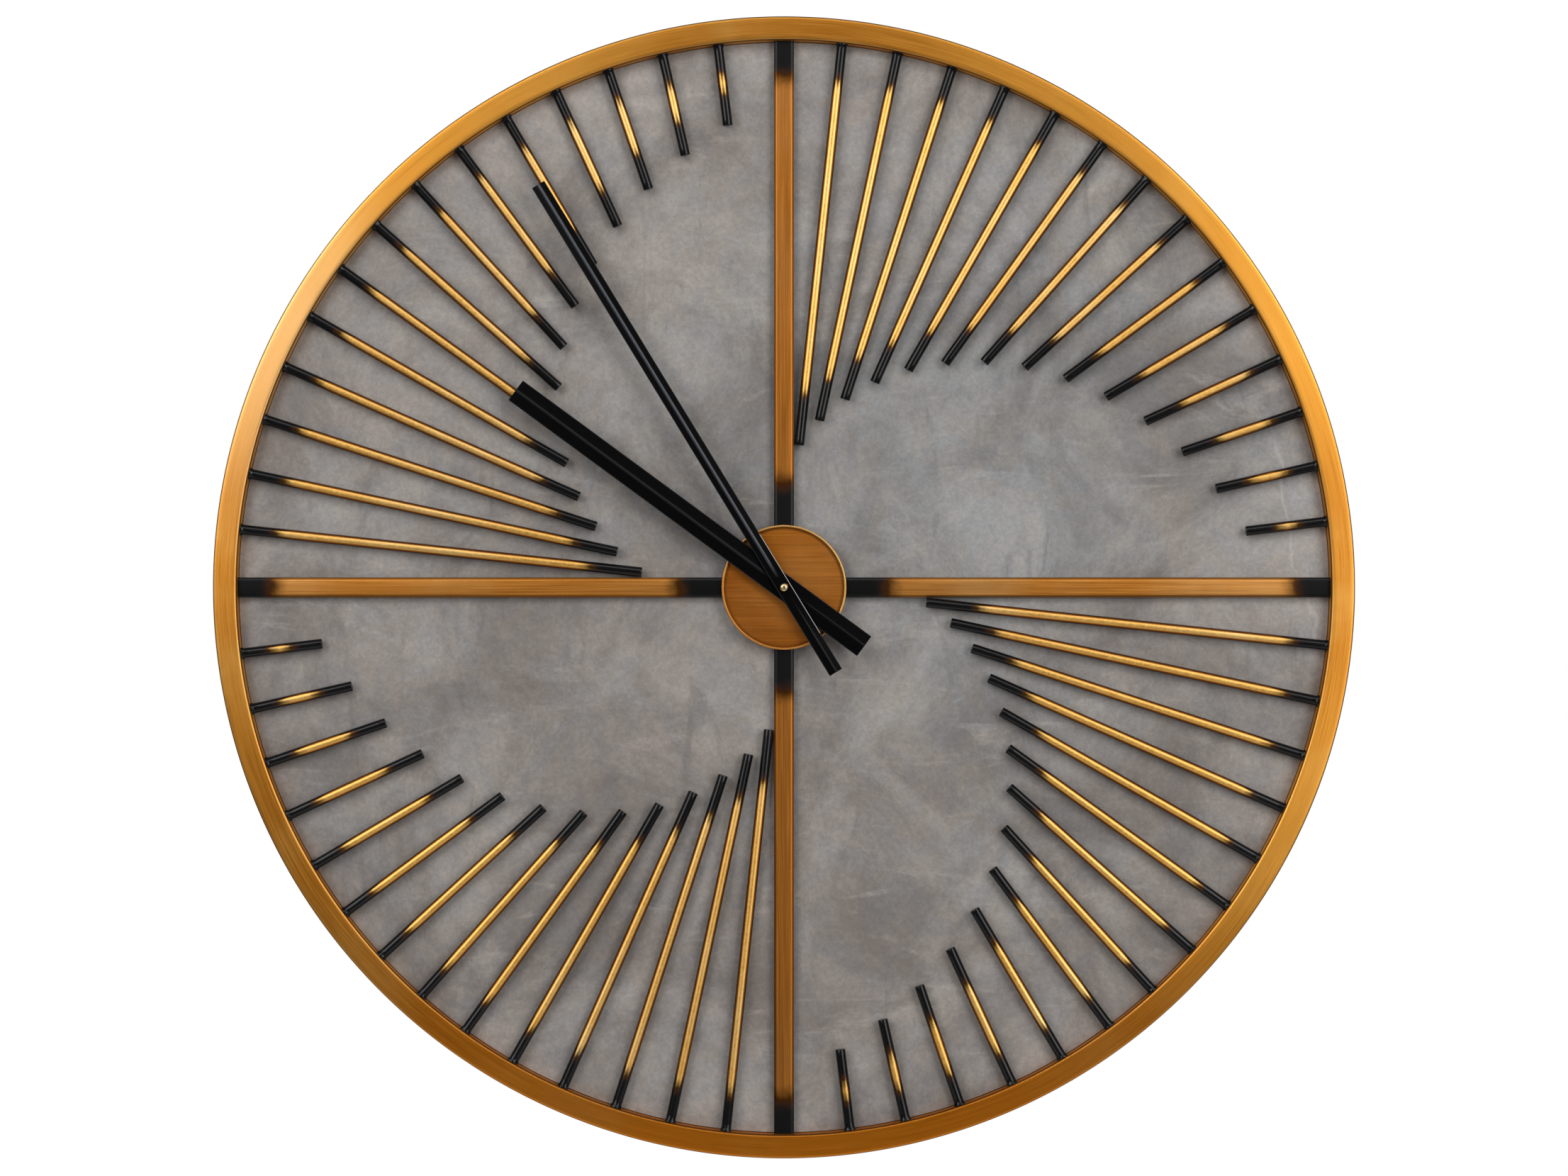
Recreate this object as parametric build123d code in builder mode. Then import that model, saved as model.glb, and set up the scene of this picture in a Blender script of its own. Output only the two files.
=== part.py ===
from build123d import *

import os
from math import cos, radians, sin, sqrt

# Sunburst wall clock, 914 mm across, with a quartz movement behind its dial.
#
# Millimetres. +X is to the right, +Z is up and the clock faces -Y. The wall is the plane y = 0, and the
# origin is the point on the wall behind the hands' arbor. Every depth below is a height above the wall,
# measured towards the viewer, so a sketch at height h lies on Plane.XZ.offset(h) and is extruded forwards.
# Angles of pieces on the dial are clock angles: degrees clockwise from 12.

# ---------------------------------------------------------------- driving dimensions
# Ring: 3/4 x 1-1/2 inch steel tube rolled to 36 inches
ring_outer_radius = 457.2
ring_tube_width = 19.05
ring_depth = 38.1
ring_wall = 1.5
ring_corner_radius = 2.4
weld_gap = 0.05

# Dial: a thin sheet on a board
dial_radius = 437.6
dial_front = 26.0
sheet_thickness = 0.8
board_thickness = 4.8
dial_hole_radius = 4.5

# Eight steel tabs hold the board, each with a pan-head screw driven from the rear
panel_tab_count = 8
panel_tab_first_angle = 22.5
panel_tab_width = 22.0
panel_tab_length = 18.0
panel_tab_thickness = 2.0
panel_screw_inset = 10.0
panel_screw_radius = 1.6
panel_screw_hole_radius = 1.9
panel_screw_head_radius = 3.4
panel_screw_head_height = 2.0
panel_screw_head_rounding = 1.2
panel_screw_recess_length = 3.6
panel_screw_recess_width = 0.8
panel_screw_recess_depth = 1.1
panel_screw_bite = 3.6

# Two steel tabs with a round hole, flush with the back of the ring, 16 inches apart
hanger_spacing = 406.4
hanger_hole_height = 375.0
hanger_hole_radius = 5.0
hanger_tab_width = 30.0
hanger_tab_length = 26.0
hanger_tab_thickness = 3.0

# Rays: in each quadrant the rods start further out one by one, at 92.3 + 22.55 i - 0.178 i^2
rod_radius = 3.97
rod_end_chamfer = 0.3
rod_gap_to_dial = 1.0
rod_start = 92.3
rod_start_step = 22.55
rod_start_bend = 0.178
rod_weld_radius = 4.8
rod_weld_length = 1.6
rods_per_quadrant = 14
first_rod_angle = 6.1
rod_pitch_angle = 5.92

# Cross bars and hub
bar_width = 15.9
bar_thickness = 6.35
bar_bevel = 2.3
bar_bevel_depth = 1.2
bar_gap_to_dial = 0.2
bar_inner_radius = 9.0
hub_radius = 50.0
hub_thickness = 2.4
hub_lip_width = 1.7
hub_lip_height = 1.3
hub_edge_rounding = 0.6
hub_hole_radius = 4.1

# Hands: strips of sheet, folded up along the middle outside the hub so that the blade has a ridge
minute_angle = 328.6
minute_length = 376.6
minute_tail = 79.5
minute_width = 11.5
minute_crease = 1.3
hour_angle = 306.3
hour_length = 266.0
hour_tail = 79.5
hour_width = 19.5
hour_crease = 1.8
hand_thickness = 0.8
crease_start = 9.0
crease_full = 24.0
first_crease = 0.01
hour_hand_rear = 40.6
minute_hand_rear = 44.6
minute_shoulder = 45.9
hour_collet_neck_radius = 3.6
hour_collet_flange_radius = 5.5
hour_collet_heights = (39.3, 41.9)
hour_collet_flange_rear = 39.8
minute_boss_neck_radius = 2.6
minute_boss_flange_radius = 4.2
minute_boss_rear = 43.4
minute_boss_flange_rear = 43.8
cap_nut_radius = 3.35
cap_nut_front = 49.6
cap_nut_dome = 2.4
cap_nut_rear_chamfer = 0.3

# Movement case
case_size = 56.0
case_corner_radius = 3.0
case_depth = 16.0
case_wall = 1.2
case_front_wall = 1.0
case_front_rounding = 0.8
gasket_thickness = 0.9
gasket_radius = 11.0
cover_gap = 0.05
bay_wall_top = -11.1
bay_wall_thickness = 0.8
bay_wall_end_gap = 1.8
post_radius = 1.2
post_places = ((-16.6, 7.0), (17.5, 9.0), (-13.0, -8.8), (13.0, -8.8))
board_peg_places = ((-22.0, -7.5), (-22.0, 17.5))
boss_radius = 1.3
cover_rib_places = (-15.0, 15.0)
cover_rib_width = 1.0
cover_rib_range = (-6.0, 2.0)

# Mounting of the movement
washer_thickness = 0.6
washer_radius = 8.0
nut_thickness = 2.4
nut_across_flats = 12.0
bushing_radius = 3.95
bushing_proud = 0.6
bushing_flange_thickness = 0.5
bushing_flange_radius = 5.0
bushing_front_chamfer = 0.4

# Arbors and running fits
pivot_radius = 0.5
arbor_radius = 0.75
running_clearance = 0.05
minute_arbor_radius = 1.75
minute_arbor_rear_radius = 1.2
hour_tube_radius = 2.55
thread_radius = 1.4
setting_shaft_radius = 1.2
rotor_magnet_radius = 2.5
knob_radius = 5.0
knob_flutes = 24
knob_flute_radius = 0.4
knob_flute_offset = 0.15

# Gear teeth, as shares of the module and of the tooth pitch
addendum = 0.85
dedendum = 1.15
tooth_root_half_width = 0.31
tooth_tip_half_width = 0.10

# Tooth counts: rotor 30 rpm, second wheel 1 rpm, minute arbor 1 turn an hour, hour wheel 1 turn in 12
rotor_pinion_teeth = 12
intermediate_wheel_teeth = 60
intermediate_pinion_teeth = 10
second_wheel_teeth = 60
second_pinion_teeth = 8
third_wheel_teeth = 60
third_pinion_teeth = 8
centre_wheel_teeth = 64
cannon_pinion_teeth = 12
motion_wheel_teeth = 36
motion_pinion_teeth = 10
hour_wheel_teeth = 40
setting_pinion_teeth = 12

# Arbor spacings and directions, seen from the front: degrees anticlockwise from +X
third_spacing = 8.64
third_direction = 150.0
intermediate_spacing = 8.75
intermediate_direction = 80.0
rotor_spacing = 7.2
rotor_direction = 60.0
motion_spacing = 7.2
motion_direction = 0.0
setting_spacing = 7.2
setting_direction = 35.0

# Heights of the wheels, from the front of the case to its rear
hour_wheel_heights = (17.0, 17.7)
motion_pinion_heights = (16.4, 17.8)
motion_wheel_heights = (15.7, 16.4)
cannon_pinion_heights = (15.5, 16.7)
centre_wheel_heights = (14.6, 15.2)
third_pinion_heights = (14.4, 15.5)
third_wheel_heights = (12.9, 13.5)
second_pinion_heights = (12.6, 13.7)
second_wheel_heights = (10.9, 11.5)
intermediate_pinion_heights = (10.6, 11.8)
intermediate_wheel_heights = (9.1, 9.6)
rotor_pinion_heights = (8.8, 9.9)
rotor_magnet_heights = (10.8, 13.0)
stator_heights = (11.4, 12.2)
bridge_heights = (7.2, 8.2)
board_heights = (8.4, 9.2)
setting_pinion_heights = (15.5, 16.7)
knob_heights = (0.7, 3.2)

# Ends of the arbors, and the bosses in the case that their front pivots turn in
pivot_rear = 7.3
arbor_rear = 8.5
rotor_pivot_front = 14.6
rotor_boss_rear = 13.8
train_pivot_front = 16.8
train_boss_rear = 16.0
intermediate_arbor_front = 13.2
third_arbor_rear = 12.0
second_pivot_front = 15.2
minute_arbor_rear = 13.9
minute_socket_front = 15.6
minute_arbor_front = 48.3
hour_tube_front = 42.8
motion_stud_rear = 15.5
setting_boss_rear = 17.2
setting_pivot_front = 18.2
setting_shaft_rear = 1.4

# Stepper motor: a flat stator with two legs, and the coil's core bridging them
stator_range = (11.0, 18.4)
stator_leg_top = 25.2
stator_hole_radius = 3.1
left_leg = (-16.0, -11.0)
right_leg = (13.0, 18.0)
coil_height = 12.7
coil_level = 22.5
core_half_width = 1.2
core_foot_half_width = 2.4
core_thickness = 1.0
coil_gap = 0.6
bobbin_flange_thickness = 0.8
bobbin_core_radius = 2.1
bobbin_flange_radius = 3.8
bobbin_clearance = 0.1
winding_radius = 3.5

# Electronics
circuit_board_x = (-26.4, -18.2)
circuit_board_z = (-9.5, 20.0)
crystal_radius = 1.0
crystal_length = 6.2
crystal_x = -20.2
crystal_bottom = 9.0
crystal_rounding = 0.4
chip_place = (-22.4, 2.0)
chip_radius = 2.6
chip_height = 1.0
chip_rounding = 0.8

# Battery, size AA, and its contacts
battery_radius = 7.25
battery_body_length = 49.2
battery_edge_rounding = 0.8
battery_nub_length = 1.1
battery_nub_radius = 2.75
battery_clearance = 0.2
battery_left = -25.0
contact_thickness = 0.3
contact_half_width = 3.5
contact_heights = (6.0, 16.5)
contact_gap = 0.1
leaf_offset = 0.15
leaf_top_offset = 0.6
leaf_foot_offset = 0.75
leaf_flat_half_height = 0.8
leaf_gap_to_cell = 0.3
negative_tongue_top = -8.0
negative_tongue_width = 2.0
strip_left = -20.0
strip_width = 1.6
strip_foot_right = -18.6
strip_foot_top = -8.6

# ---------------------------------------------------------------- sizes worked out from them
ring_inner_radius = ring_outer_radius - ring_tube_width
ring_reach = ring_inner_radius - weld_gap
rod_outer_radius = sqrt(ring_reach**2 - rod_weld_radius**2)
bar_outer_radius = sqrt(ring_reach**2 - (bar_width / 2) ** 2)
board_front = dial_front - sheet_thickness
board_rear = board_front - board_thickness
case_front = board_rear - gasket_thickness
case_rear = case_front - case_depth
case_inside_front = case_front - case_front_wall
cover_front = case_rear + case_wall
half_case = case_size / 2
half_inside = half_case - case_wall
pivot_hole_radius = pivot_radius + running_clearance
panel_tab_rear = board_rear - panel_tab_thickness
panel_screw_circle = ring_reach - panel_screw_inset
panel_screw_rear = panel_tab_rear - panel_screw_head_height
rod_height = dial_front + rod_gap_to_dial + rod_radius
bar_rear = dial_front + bar_gap_to_dial
hub_rear = bar_rear + bar_thickness
hub_face = hub_rear + hub_thickness
nut_rear = hub_face + washer_thickness
bushing_front = nut_rear + nut_thickness + bushing_proud
bushing_flange_rear = case_inside_front - bushing_flange_thickness
core_heights = (stator_heights[1], stator_heights[1] + core_thickness)
coil_left = left_leg[1] + coil_gap
coil_length = right_leg[0] - coil_gap - coil_left
battery_height = case_inside_front - battery_clearance - battery_radius
battery_level = -half_inside + battery_clearance + battery_radius
battery_end = battery_left + battery_body_length + battery_nub_length
contact_wall = half_inside - contact_gap
strip_level = bay_wall_top + contact_gap

os.makedirs("parts", exist_ok=True)


def finish(node, name):
    """Label a finished sub-part and write it as its own STEP file."""
    node.part.label = name
    export_step(node.part, f"parts/{name}.step")


def dial_plane(height):
    """A sketch plane parallel to the wall, seen from the front, at a height above the wall."""
    return Plane.XZ.offset(height)


def radial_plane(clock_angle, height):
    """A plane through the arbor axis at a height: its x runs outwards at the clock angle, y to the viewer."""
    angle = radians(clock_angle)
    outwards = Vector(sin(angle), 0, cos(angle))
    across = Vector(cos(angle), 0, -sin(angle))
    return Plane(origin=(0, -height, 0), x_dir=outwards, z_dir=across)


def arm_plane(clock_angle, distance, height):
    """A plane square to an arm: origin at a distance along it, x across the arm, y to the viewer."""
    angle = radians(clock_angle)
    outwards = Vector(sin(angle), 0, cos(angle))
    across = Vector(cos(angle), 0, -sin(angle))
    return Plane(origin=outwards * distance - Vector(0, height, 0), x_dir=across, z_dir=outwards * -1)


def polar(distance, direction):
    """A point in the dial plane, from a direction in degrees anticlockwise from +X."""
    return (distance * cos(radians(direction)), distance * sin(radians(direction)))


def shifted(point, distance, direction):
    """A point moved in the dial plane."""
    step = polar(distance, direction)
    return (point[0] + step[0], point[1] + step[1])


def gear_points(place, teeth, module, phase):
    """Outline of a gear with straight-flanked teeth: one tooth is centred on the phase angle."""
    pitch_radius = module * teeth / 2
    root_radius = pitch_radius - dedendum * module
    tip_radius = pitch_radius + addendum * module
    corners = (
        (root_radius, -tooth_root_half_width),
        (tip_radius, -tooth_tip_half_width),
        (tip_radius, tooth_tip_half_width),
        (root_radius, tooth_root_half_width),
    )
    pitch_angle = 360 / teeth
    return [
        shifted(place, radius, phase + (tooth + offset) * pitch_angle)
        for tooth in range(teeth)
        for radius, offset in corners
    ]


def meshing_phase(phase, teeth, mate_teeth, direction):
    """Phase of a gear that meshes with one of the given phase, lying in the given direction from it."""
    share = ((direction - phase) * teeth / 360) % 1
    return direction + 180 - (0.5 - share) * 360 / mate_teeth


def module_for(spacing, teeth, mate_teeth):
    """Module of two gears that mesh at this spacing."""
    return 2 * spacing / (teeth + mate_teeth)


def add_gear(place, teeth, module, phase, heights):
    """Extrude a gear into the sub-part being built."""
    with BuildSketch(dial_plane(heights[0])) as profile:
        with BuildLine():
            Polyline(*gear_points(place, teeth, module, phase), close=True)
        make_face()
    extrude(profile.sketch, amount=heights[1] - heights[0])


def add_disc(place, radius, low, high, mode=Mode.ADD):
    """Extrude a disc, or cut a round hole, between two heights."""
    with BuildSketch(dial_plane(low)) as profile:
        with Locations(place):
            Circle(radius)
    extrude(profile.sketch, amount=high - low, mode=mode)


def add_box(x_range, z_range, height_range, mode=Mode.ADD):
    """Extrude a rectangle given by its ranges of x, z and height."""
    with BuildSketch(dial_plane(height_range[0])) as profile:
        with Locations(((x_range[0] + x_range[1]) / 2, (z_range[0] + z_range[1]) / 2)):
            Rectangle(x_range[1] - x_range[0], z_range[1] - z_range[0])
    extrude(profile.sketch, amount=height_range[1] - height_range[0], mode=mode)


# ---------------------------------------------------------------- ring frame
# A hollow tube with rounded corners, revolved about the arbor axis
with BuildPart() as ring_frame:
    with BuildSketch(Plane.XY):
        with Locations((ring_outer_radius - ring_tube_width / 2, -ring_depth / 2)):
            RectangleRounded(ring_tube_width, ring_depth, ring_corner_radius)
            RectangleRounded(
                ring_tube_width - 2 * ring_wall,
                ring_depth - 2 * ring_wall,
                ring_corner_radius - ring_wall,
                mode=Mode.SUBTRACT,
            )
    revolve(axis=Axis.Y)
finish(ring_frame, "ring_frame")

# ---------------------------------------------------------------- dial sheet, board and what holds them
with BuildPart() as dial_sheet:
    with BuildSketch(dial_plane(board_front)):
        Circle(dial_radius)
        Circle(dial_hole_radius, mode=Mode.SUBTRACT)
    extrude(amount=sheet_thickness)
finish(dial_sheet, "dial_sheet")

with BuildPart() as backing_board:
    with BuildSketch(dial_plane(board_rear)):
        Circle(dial_radius)
        Circle(dial_hole_radius, mode=Mode.SUBTRACT)
    extrude(amount=board_thickness)
    with BuildSketch(dial_plane(board_rear)):
        with PolarLocations(panel_screw_circle, panel_tab_count, panel_tab_first_angle):
            Circle(panel_screw_radius)
    extrude(amount=panel_screw_bite, mode=Mode.SUBTRACT)
finish(backing_board, "backing_board")

with BuildPart() as board_tabs:
    with BuildSketch(dial_plane(panel_tab_rear)):
        with PolarLocations(ring_reach - panel_tab_length / 2, panel_tab_count, panel_tab_first_angle):
            Rectangle(panel_tab_length + panel_tab_thickness, panel_tab_width)
        Circle(ring_reach, mode=Mode.INTERSECT)
        with PolarLocations(panel_screw_circle, panel_tab_count, panel_tab_first_angle):
            Circle(panel_screw_hole_radius, mode=Mode.SUBTRACT)
    extrude(amount=panel_tab_thickness)
finish(board_tabs, "board_tabs")

# Pan-head screws, driven from the rear into the board
with BuildPart() as board_screws:
    with BuildSketch(dial_plane(panel_screw_rear)):
        with PolarLocations(panel_screw_circle, panel_tab_count, panel_tab_first_angle):
            Circle(panel_screw_head_radius)
    extrude(amount=panel_screw_head_height)
    fillet(board_screws.faces().group_by(Axis.Y)[-1].edges(), radius=panel_screw_head_rounding)
    with BuildSketch(dial_plane(panel_screw_rear)):
        with PolarLocations(panel_screw_circle, panel_tab_count, panel_tab_first_angle):
            Rectangle(panel_screw_recess_length, panel_screw_recess_width)
            Rectangle(panel_screw_recess_width, panel_screw_recess_length)
    extrude(amount=panel_screw_recess_depth, mode=Mode.SUBTRACT)
    with BuildSketch(dial_plane(panel_tab_rear)):
        with PolarLocations(panel_screw_circle, panel_tab_count, panel_tab_first_angle):
            Circle(panel_screw_radius)
    extrude(amount=panel_tab_thickness + panel_screw_bite)
finish(board_screws, "board_screws")

with BuildPart() as hanger_tabs:
    with BuildSketch(dial_plane(0)):
        for side in (-1, 1):
            hole = Vector(side * hanger_spacing / 2, hanger_hole_height)
            with Locations(Location((hole.X, hole.Y), hole.get_angle(Vector(1, 0)))):
                Rectangle(hanger_tab_length, hanger_tab_width)
        Circle(ring_reach, mode=Mode.INTERSECT)
        with Locations((-hanger_spacing / 2, hanger_hole_height), (hanger_spacing / 2, hanger_hole_height)):
            Circle(hanger_hole_radius, mode=Mode.SUBTRACT)
    extrude(amount=hanger_tab_thickness)
finish(hanger_tabs, "hanger_tabs")

# ---------------------------------------------------------------- rays
def rod_inner_radius(index):
    """Where a rod starts: the rods get shorter clockwise from each cross bar."""
    return rod_start + rod_start_step * index - rod_start_bend * index**2


# Each node holds the four rods of one length, a quarter turn apart, with a weld flare at the ring
for index in range(1, rods_per_quadrant + 1):
    inner_radius = rod_inner_radius(index)
    with BuildPart() as ray_rods:
        for quarter in range(4):
            clock_angle = 90 * quarter + first_rod_angle + rod_pitch_angle * (index - 1)
            plane = radial_plane(clock_angle, rod_height)
            with BuildSketch(plane):
                with BuildLine():
                    Polyline(
                        (rod_outer_radius, rod_weld_radius),
                        (rod_outer_radius, 0),
                        (inner_radius, 0),
                        (inner_radius, rod_radius - rod_end_chamfer),
                        (inner_radius + rod_end_chamfer, rod_radius),
                        (rod_outer_radius - rod_weld_length, rod_radius),
                    )
                    Line(
                        (rod_outer_radius - rod_weld_length, rod_radius),
                        (rod_outer_radius, rod_weld_radius),
                    )
                make_face()
            revolve(axis=Axis(plane.origin, plane.x_dir))
    finish(ray_rods, f"ray_rods_{index:02d}")

# Flat bars with bevelled front edges, from the hub to the ring
for hour in (12, 3, 6, 9):
    with BuildPart() as cross_bar:
        with BuildSketch(arm_plane(30 * hour, bar_inner_radius, bar_rear)):
            with BuildLine():
                Polyline(
                    (-bar_width / 2, 0),
                    (bar_width / 2, 0),
                    (bar_width / 2, bar_thickness - bar_bevel_depth),
                    (bar_width / 2 - bar_bevel, bar_thickness),
                    (-bar_width / 2 + bar_bevel, bar_thickness),
                    (-bar_width / 2, bar_thickness - bar_bevel_depth),
                    close=True,
                )
            make_face()
        extrude(amount=-(bar_outer_radius - bar_inner_radius))
    finish(cross_bar, f"cross_bar_{hour}")

# ---------------------------------------------------------------- hub
with BuildPart() as hub_plate:
    with BuildSketch(dial_plane(hub_rear)):
        Circle(hub_radius)
    extrude(amount=hub_thickness + hub_lip_height)
    with BuildSketch(dial_plane(hub_face)):
        Circle(hub_radius - hub_lip_width)
    extrude(amount=hub_lip_height, mode=Mode.SUBTRACT)
    fillet(hub_plate.faces().group_by(Axis.Y)[0].edges(), radius=hub_edge_rounding)
    add_disc((0, 0), hub_hole_radius, hub_rear, hub_face, mode=Mode.SUBTRACT)
finish(hub_plate, "hub_plate")

# ---------------------------------------------------------------- movement mounting
centre = (0.0, 0.0)

with BuildPart() as case_gasket:
    add_disc(centre, gasket_radius, case_front, board_rear)
    add_disc(centre, dial_hole_radius, case_front, board_rear, mode=Mode.SUBTRACT)
finish(case_gasket, "case_gasket")

with BuildPart() as threaded_bushing:
    add_disc(centre, bushing_flange_radius, bushing_flange_rear, case_inside_front)
    add_disc(centre, bushing_radius, case_inside_front, bushing_front)
    chamfer(threaded_bushing.faces().sort_by(Axis.Y)[0].edges(), length=bushing_front_chamfer)
    add_disc(
        centre,
        hour_tube_radius + running_clearance,
        bushing_flange_rear,
        bushing_front,
        mode=Mode.SUBTRACT,
    )
finish(threaded_bushing, "threaded_bushing")

with BuildPart() as bushing_washer:
    add_disc(centre, washer_radius, hub_face, nut_rear)
    add_disc(centre, bushing_radius + running_clearance, hub_face, nut_rear, mode=Mode.SUBTRACT)
finish(bushing_washer, "bushing_washer")

with BuildPart() as bushing_nut:
    with BuildSketch(dial_plane(nut_rear)):
        RegularPolygon(nut_across_flats / 2, 6, major_radius=False)
        Circle(bushing_radius, mode=Mode.SUBTRACT)
    extrude(amount=nut_thickness)
finish(bushing_nut, "bushing_nut")

# ---------------------------------------------------------------- arbor centres and gear phases
third = polar(third_spacing, third_direction)
intermediate = polar(intermediate_spacing, intermediate_direction)
rotor = shifted(intermediate, rotor_spacing, rotor_direction)
motion = polar(motion_spacing, motion_direction)
setting = shifted(motion, setting_spacing, setting_direction)

cannon_phase = 0.0
centre_wheel_phase = 0.0
third_wheel_phase = 0.0
second_wheel_phase = 0.0
intermediate_wheel_phase = 0.0
motion_pinion_phase = 0.0
motion_wheel_phase = meshing_phase(cannon_phase, cannon_pinion_teeth, motion_wheel_teeth, motion_direction)
hour_wheel_phase = meshing_phase(
    motion_pinion_phase, motion_pinion_teeth, hour_wheel_teeth, motion_direction + 180
)
setting_phase = meshing_phase(
    motion_wheel_phase, motion_wheel_teeth, setting_pinion_teeth, setting_direction
)
third_pinion_phase = meshing_phase(
    centre_wheel_phase, centre_wheel_teeth, third_pinion_teeth, third_direction
)
second_pinion_phase = meshing_phase(
    third_wheel_phase, third_wheel_teeth, second_pinion_teeth, third_direction + 180
)
intermediate_pinion_phase = meshing_phase(
    second_wheel_phase, second_wheel_teeth, intermediate_pinion_teeth, intermediate_direction
)
rotor_pinion_phase = meshing_phase(
    intermediate_wheel_phase, intermediate_wheel_teeth, rotor_pinion_teeth, rotor_direction
)

motion_module = module_for(motion_spacing, cannon_pinion_teeth, motion_wheel_teeth)
hour_module = module_for(motion_spacing, motion_pinion_teeth, hour_wheel_teeth)
centre_module = module_for(third_spacing, centre_wheel_teeth, third_pinion_teeth)
third_module = module_for(third_spacing, third_wheel_teeth, second_pinion_teeth)
second_module = module_for(intermediate_spacing, second_wheel_teeth, intermediate_pinion_teeth)
rotor_module = module_for(rotor_spacing, intermediate_wheel_teeth, rotor_pinion_teeth)

# ---------------------------------------------------------------- movement case
with BuildPart() as front_case:
    with BuildSketch(dial_plane(case_rear)):
        RectangleRounded(case_size, case_size, case_corner_radius)
    extrude(amount=case_depth)
    fillet(front_case.faces().sort_by(Axis.Y)[0].edges(), radius=case_front_rounding)
    with BuildSketch(dial_plane(case_rear)):
        RectangleRounded(2 * half_inside, 2 * half_inside, case_corner_radius - case_wall)
    extrude(amount=case_inside_front - case_rear, mode=Mode.SUBTRACT)
    add_disc(centre, bushing_radius + running_clearance, case_inside_front, case_front, mode=Mode.SUBTRACT)
    # wall between the train and the battery bay, open at both ends for the contact strips
    add_box(
        (-half_inside + bay_wall_end_gap, half_inside - bay_wall_end_gap),
        (bay_wall_top - bay_wall_thickness, bay_wall_top),
        (case_rear, case_inside_front),
    )
    for place in post_places:
        add_disc(place, post_radius, bridge_heights[1], case_inside_front)
    for place in board_peg_places:
        add_disc(place, post_radius, board_heights[1], case_inside_front)
    # bosses for the front pivots of the third and intermediate wheels, the rotor and the setting shaft
    for place, hole_radius, boss_rear in (
        (third, pivot_hole_radius, train_boss_rear),
        (intermediate, pivot_hole_radius, train_boss_rear),
        (rotor, pivot_hole_radius, rotor_boss_rear),
        (setting, arbor_radius + running_clearance, setting_boss_rear),
    ):
        add_disc(place, boss_radius, boss_rear, case_inside_front)
        add_disc(place, hole_radius, boss_rear, case_inside_front, mode=Mode.SUBTRACT)
    # stud that the motion wheel turns on
    add_disc(motion, arbor_radius, motion_stud_rear, case_inside_front)
finish(front_case, "front_case")

# The cover closes the train's side of the case and leaves the battery bay open
with BuildPart() as back_cover:
    with BuildSketch(dial_plane(case_rear)):
        cover_size = 2 * (half_inside - cover_gap)
        RectangleRounded(cover_size, cover_size, case_corner_radius - case_wall)
        with Locations((0, bay_wall_top + cover_gap - half_case)):
            Rectangle(case_size, case_size, mode=Mode.SUBTRACT)
    extrude(amount=case_wall)
    add_disc(
        setting,
        setting_shaft_radius + running_clearance,
        case_rear,
        cover_front,
        mode=Mode.SUBTRACT,
    )
    # stiffening ribs on the inside, reaching the bridge
    for x in cover_rib_places:
        rib_sides = (x - cover_rib_width / 2, x + cover_rib_width / 2)
        add_box(rib_sides, cover_rib_range, (cover_front, bridge_heights[0]))
finish(back_cover, "back_cover")

# The bridge carries the rear pivots and rests on the four posts
with BuildPart() as train_bridge:
    with BuildSketch(dial_plane(bridge_heights[0])):
        with BuildLine():
            Polyline(
                (-17.6, -10.6),
                (14.6, -10.6),
                (19.0, -3.0),
                (19.0, 10.6),
                (12.0, 17.4),
                (-1.0, 17.4),
                (-17.6, 9.0),
                close=True,
            )
        make_face()
    extrude(amount=bridge_heights[1] - bridge_heights[0])
    fillet(train_bridge.edges().filter_by(Axis.Y), radius=1.0)
    for place in (centre, third, intermediate, rotor):
        add_disc(place, pivot_hole_radius, *bridge_heights, mode=Mode.SUBTRACT)
    add_disc(setting, setting_shaft_radius + running_clearance, *bridge_heights, mode=Mode.SUBTRACT)
finish(train_bridge, "train_bridge")

# ---------------------------------------------------------------- going train
with BuildPart() as rotor_pinion:
    add_disc(rotor, pivot_radius, pivot_rear, rotor_pivot_front)
    add_disc(rotor, arbor_radius, arbor_rear, rotor_magnet_heights[0])
    add_gear(rotor, rotor_pinion_teeth, rotor_module, rotor_pinion_phase, rotor_pinion_heights)
finish(rotor_pinion, "rotor_pinion")

with BuildPart() as rotor_magnet:
    add_disc(rotor, rotor_magnet_radius, *rotor_magnet_heights)
    add_disc(rotor, pivot_radius, *rotor_magnet_heights, mode=Mode.SUBTRACT)
finish(rotor_magnet, "rotor_magnet")

with BuildPart() as intermediate_wheel:
    add_disc(intermediate, pivot_radius, pivot_rear, train_pivot_front)
    add_disc(intermediate, arbor_radius, arbor_rear, intermediate_arbor_front)
    add_gear(
        intermediate,
        intermediate_wheel_teeth,
        rotor_module,
        intermediate_wheel_phase,
        intermediate_wheel_heights,
    )
    add_gear(
        intermediate,
        intermediate_pinion_teeth,
        second_module,
        intermediate_pinion_phase,
        intermediate_pinion_heights,
    )
finish(intermediate_wheel, "intermediate_wheel")

with BuildPart() as second_wheel:
    add_disc(centre, pivot_radius, pivot_rear, second_pivot_front)
    add_disc(centre, arbor_radius, arbor_rear, second_pinion_heights[0])
    add_gear(centre, second_wheel_teeth, second_module, second_wheel_phase, second_wheel_heights)
    add_gear(centre, second_pinion_teeth, third_module, second_pinion_phase, second_pinion_heights)
finish(second_wheel, "second_wheel")

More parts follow.
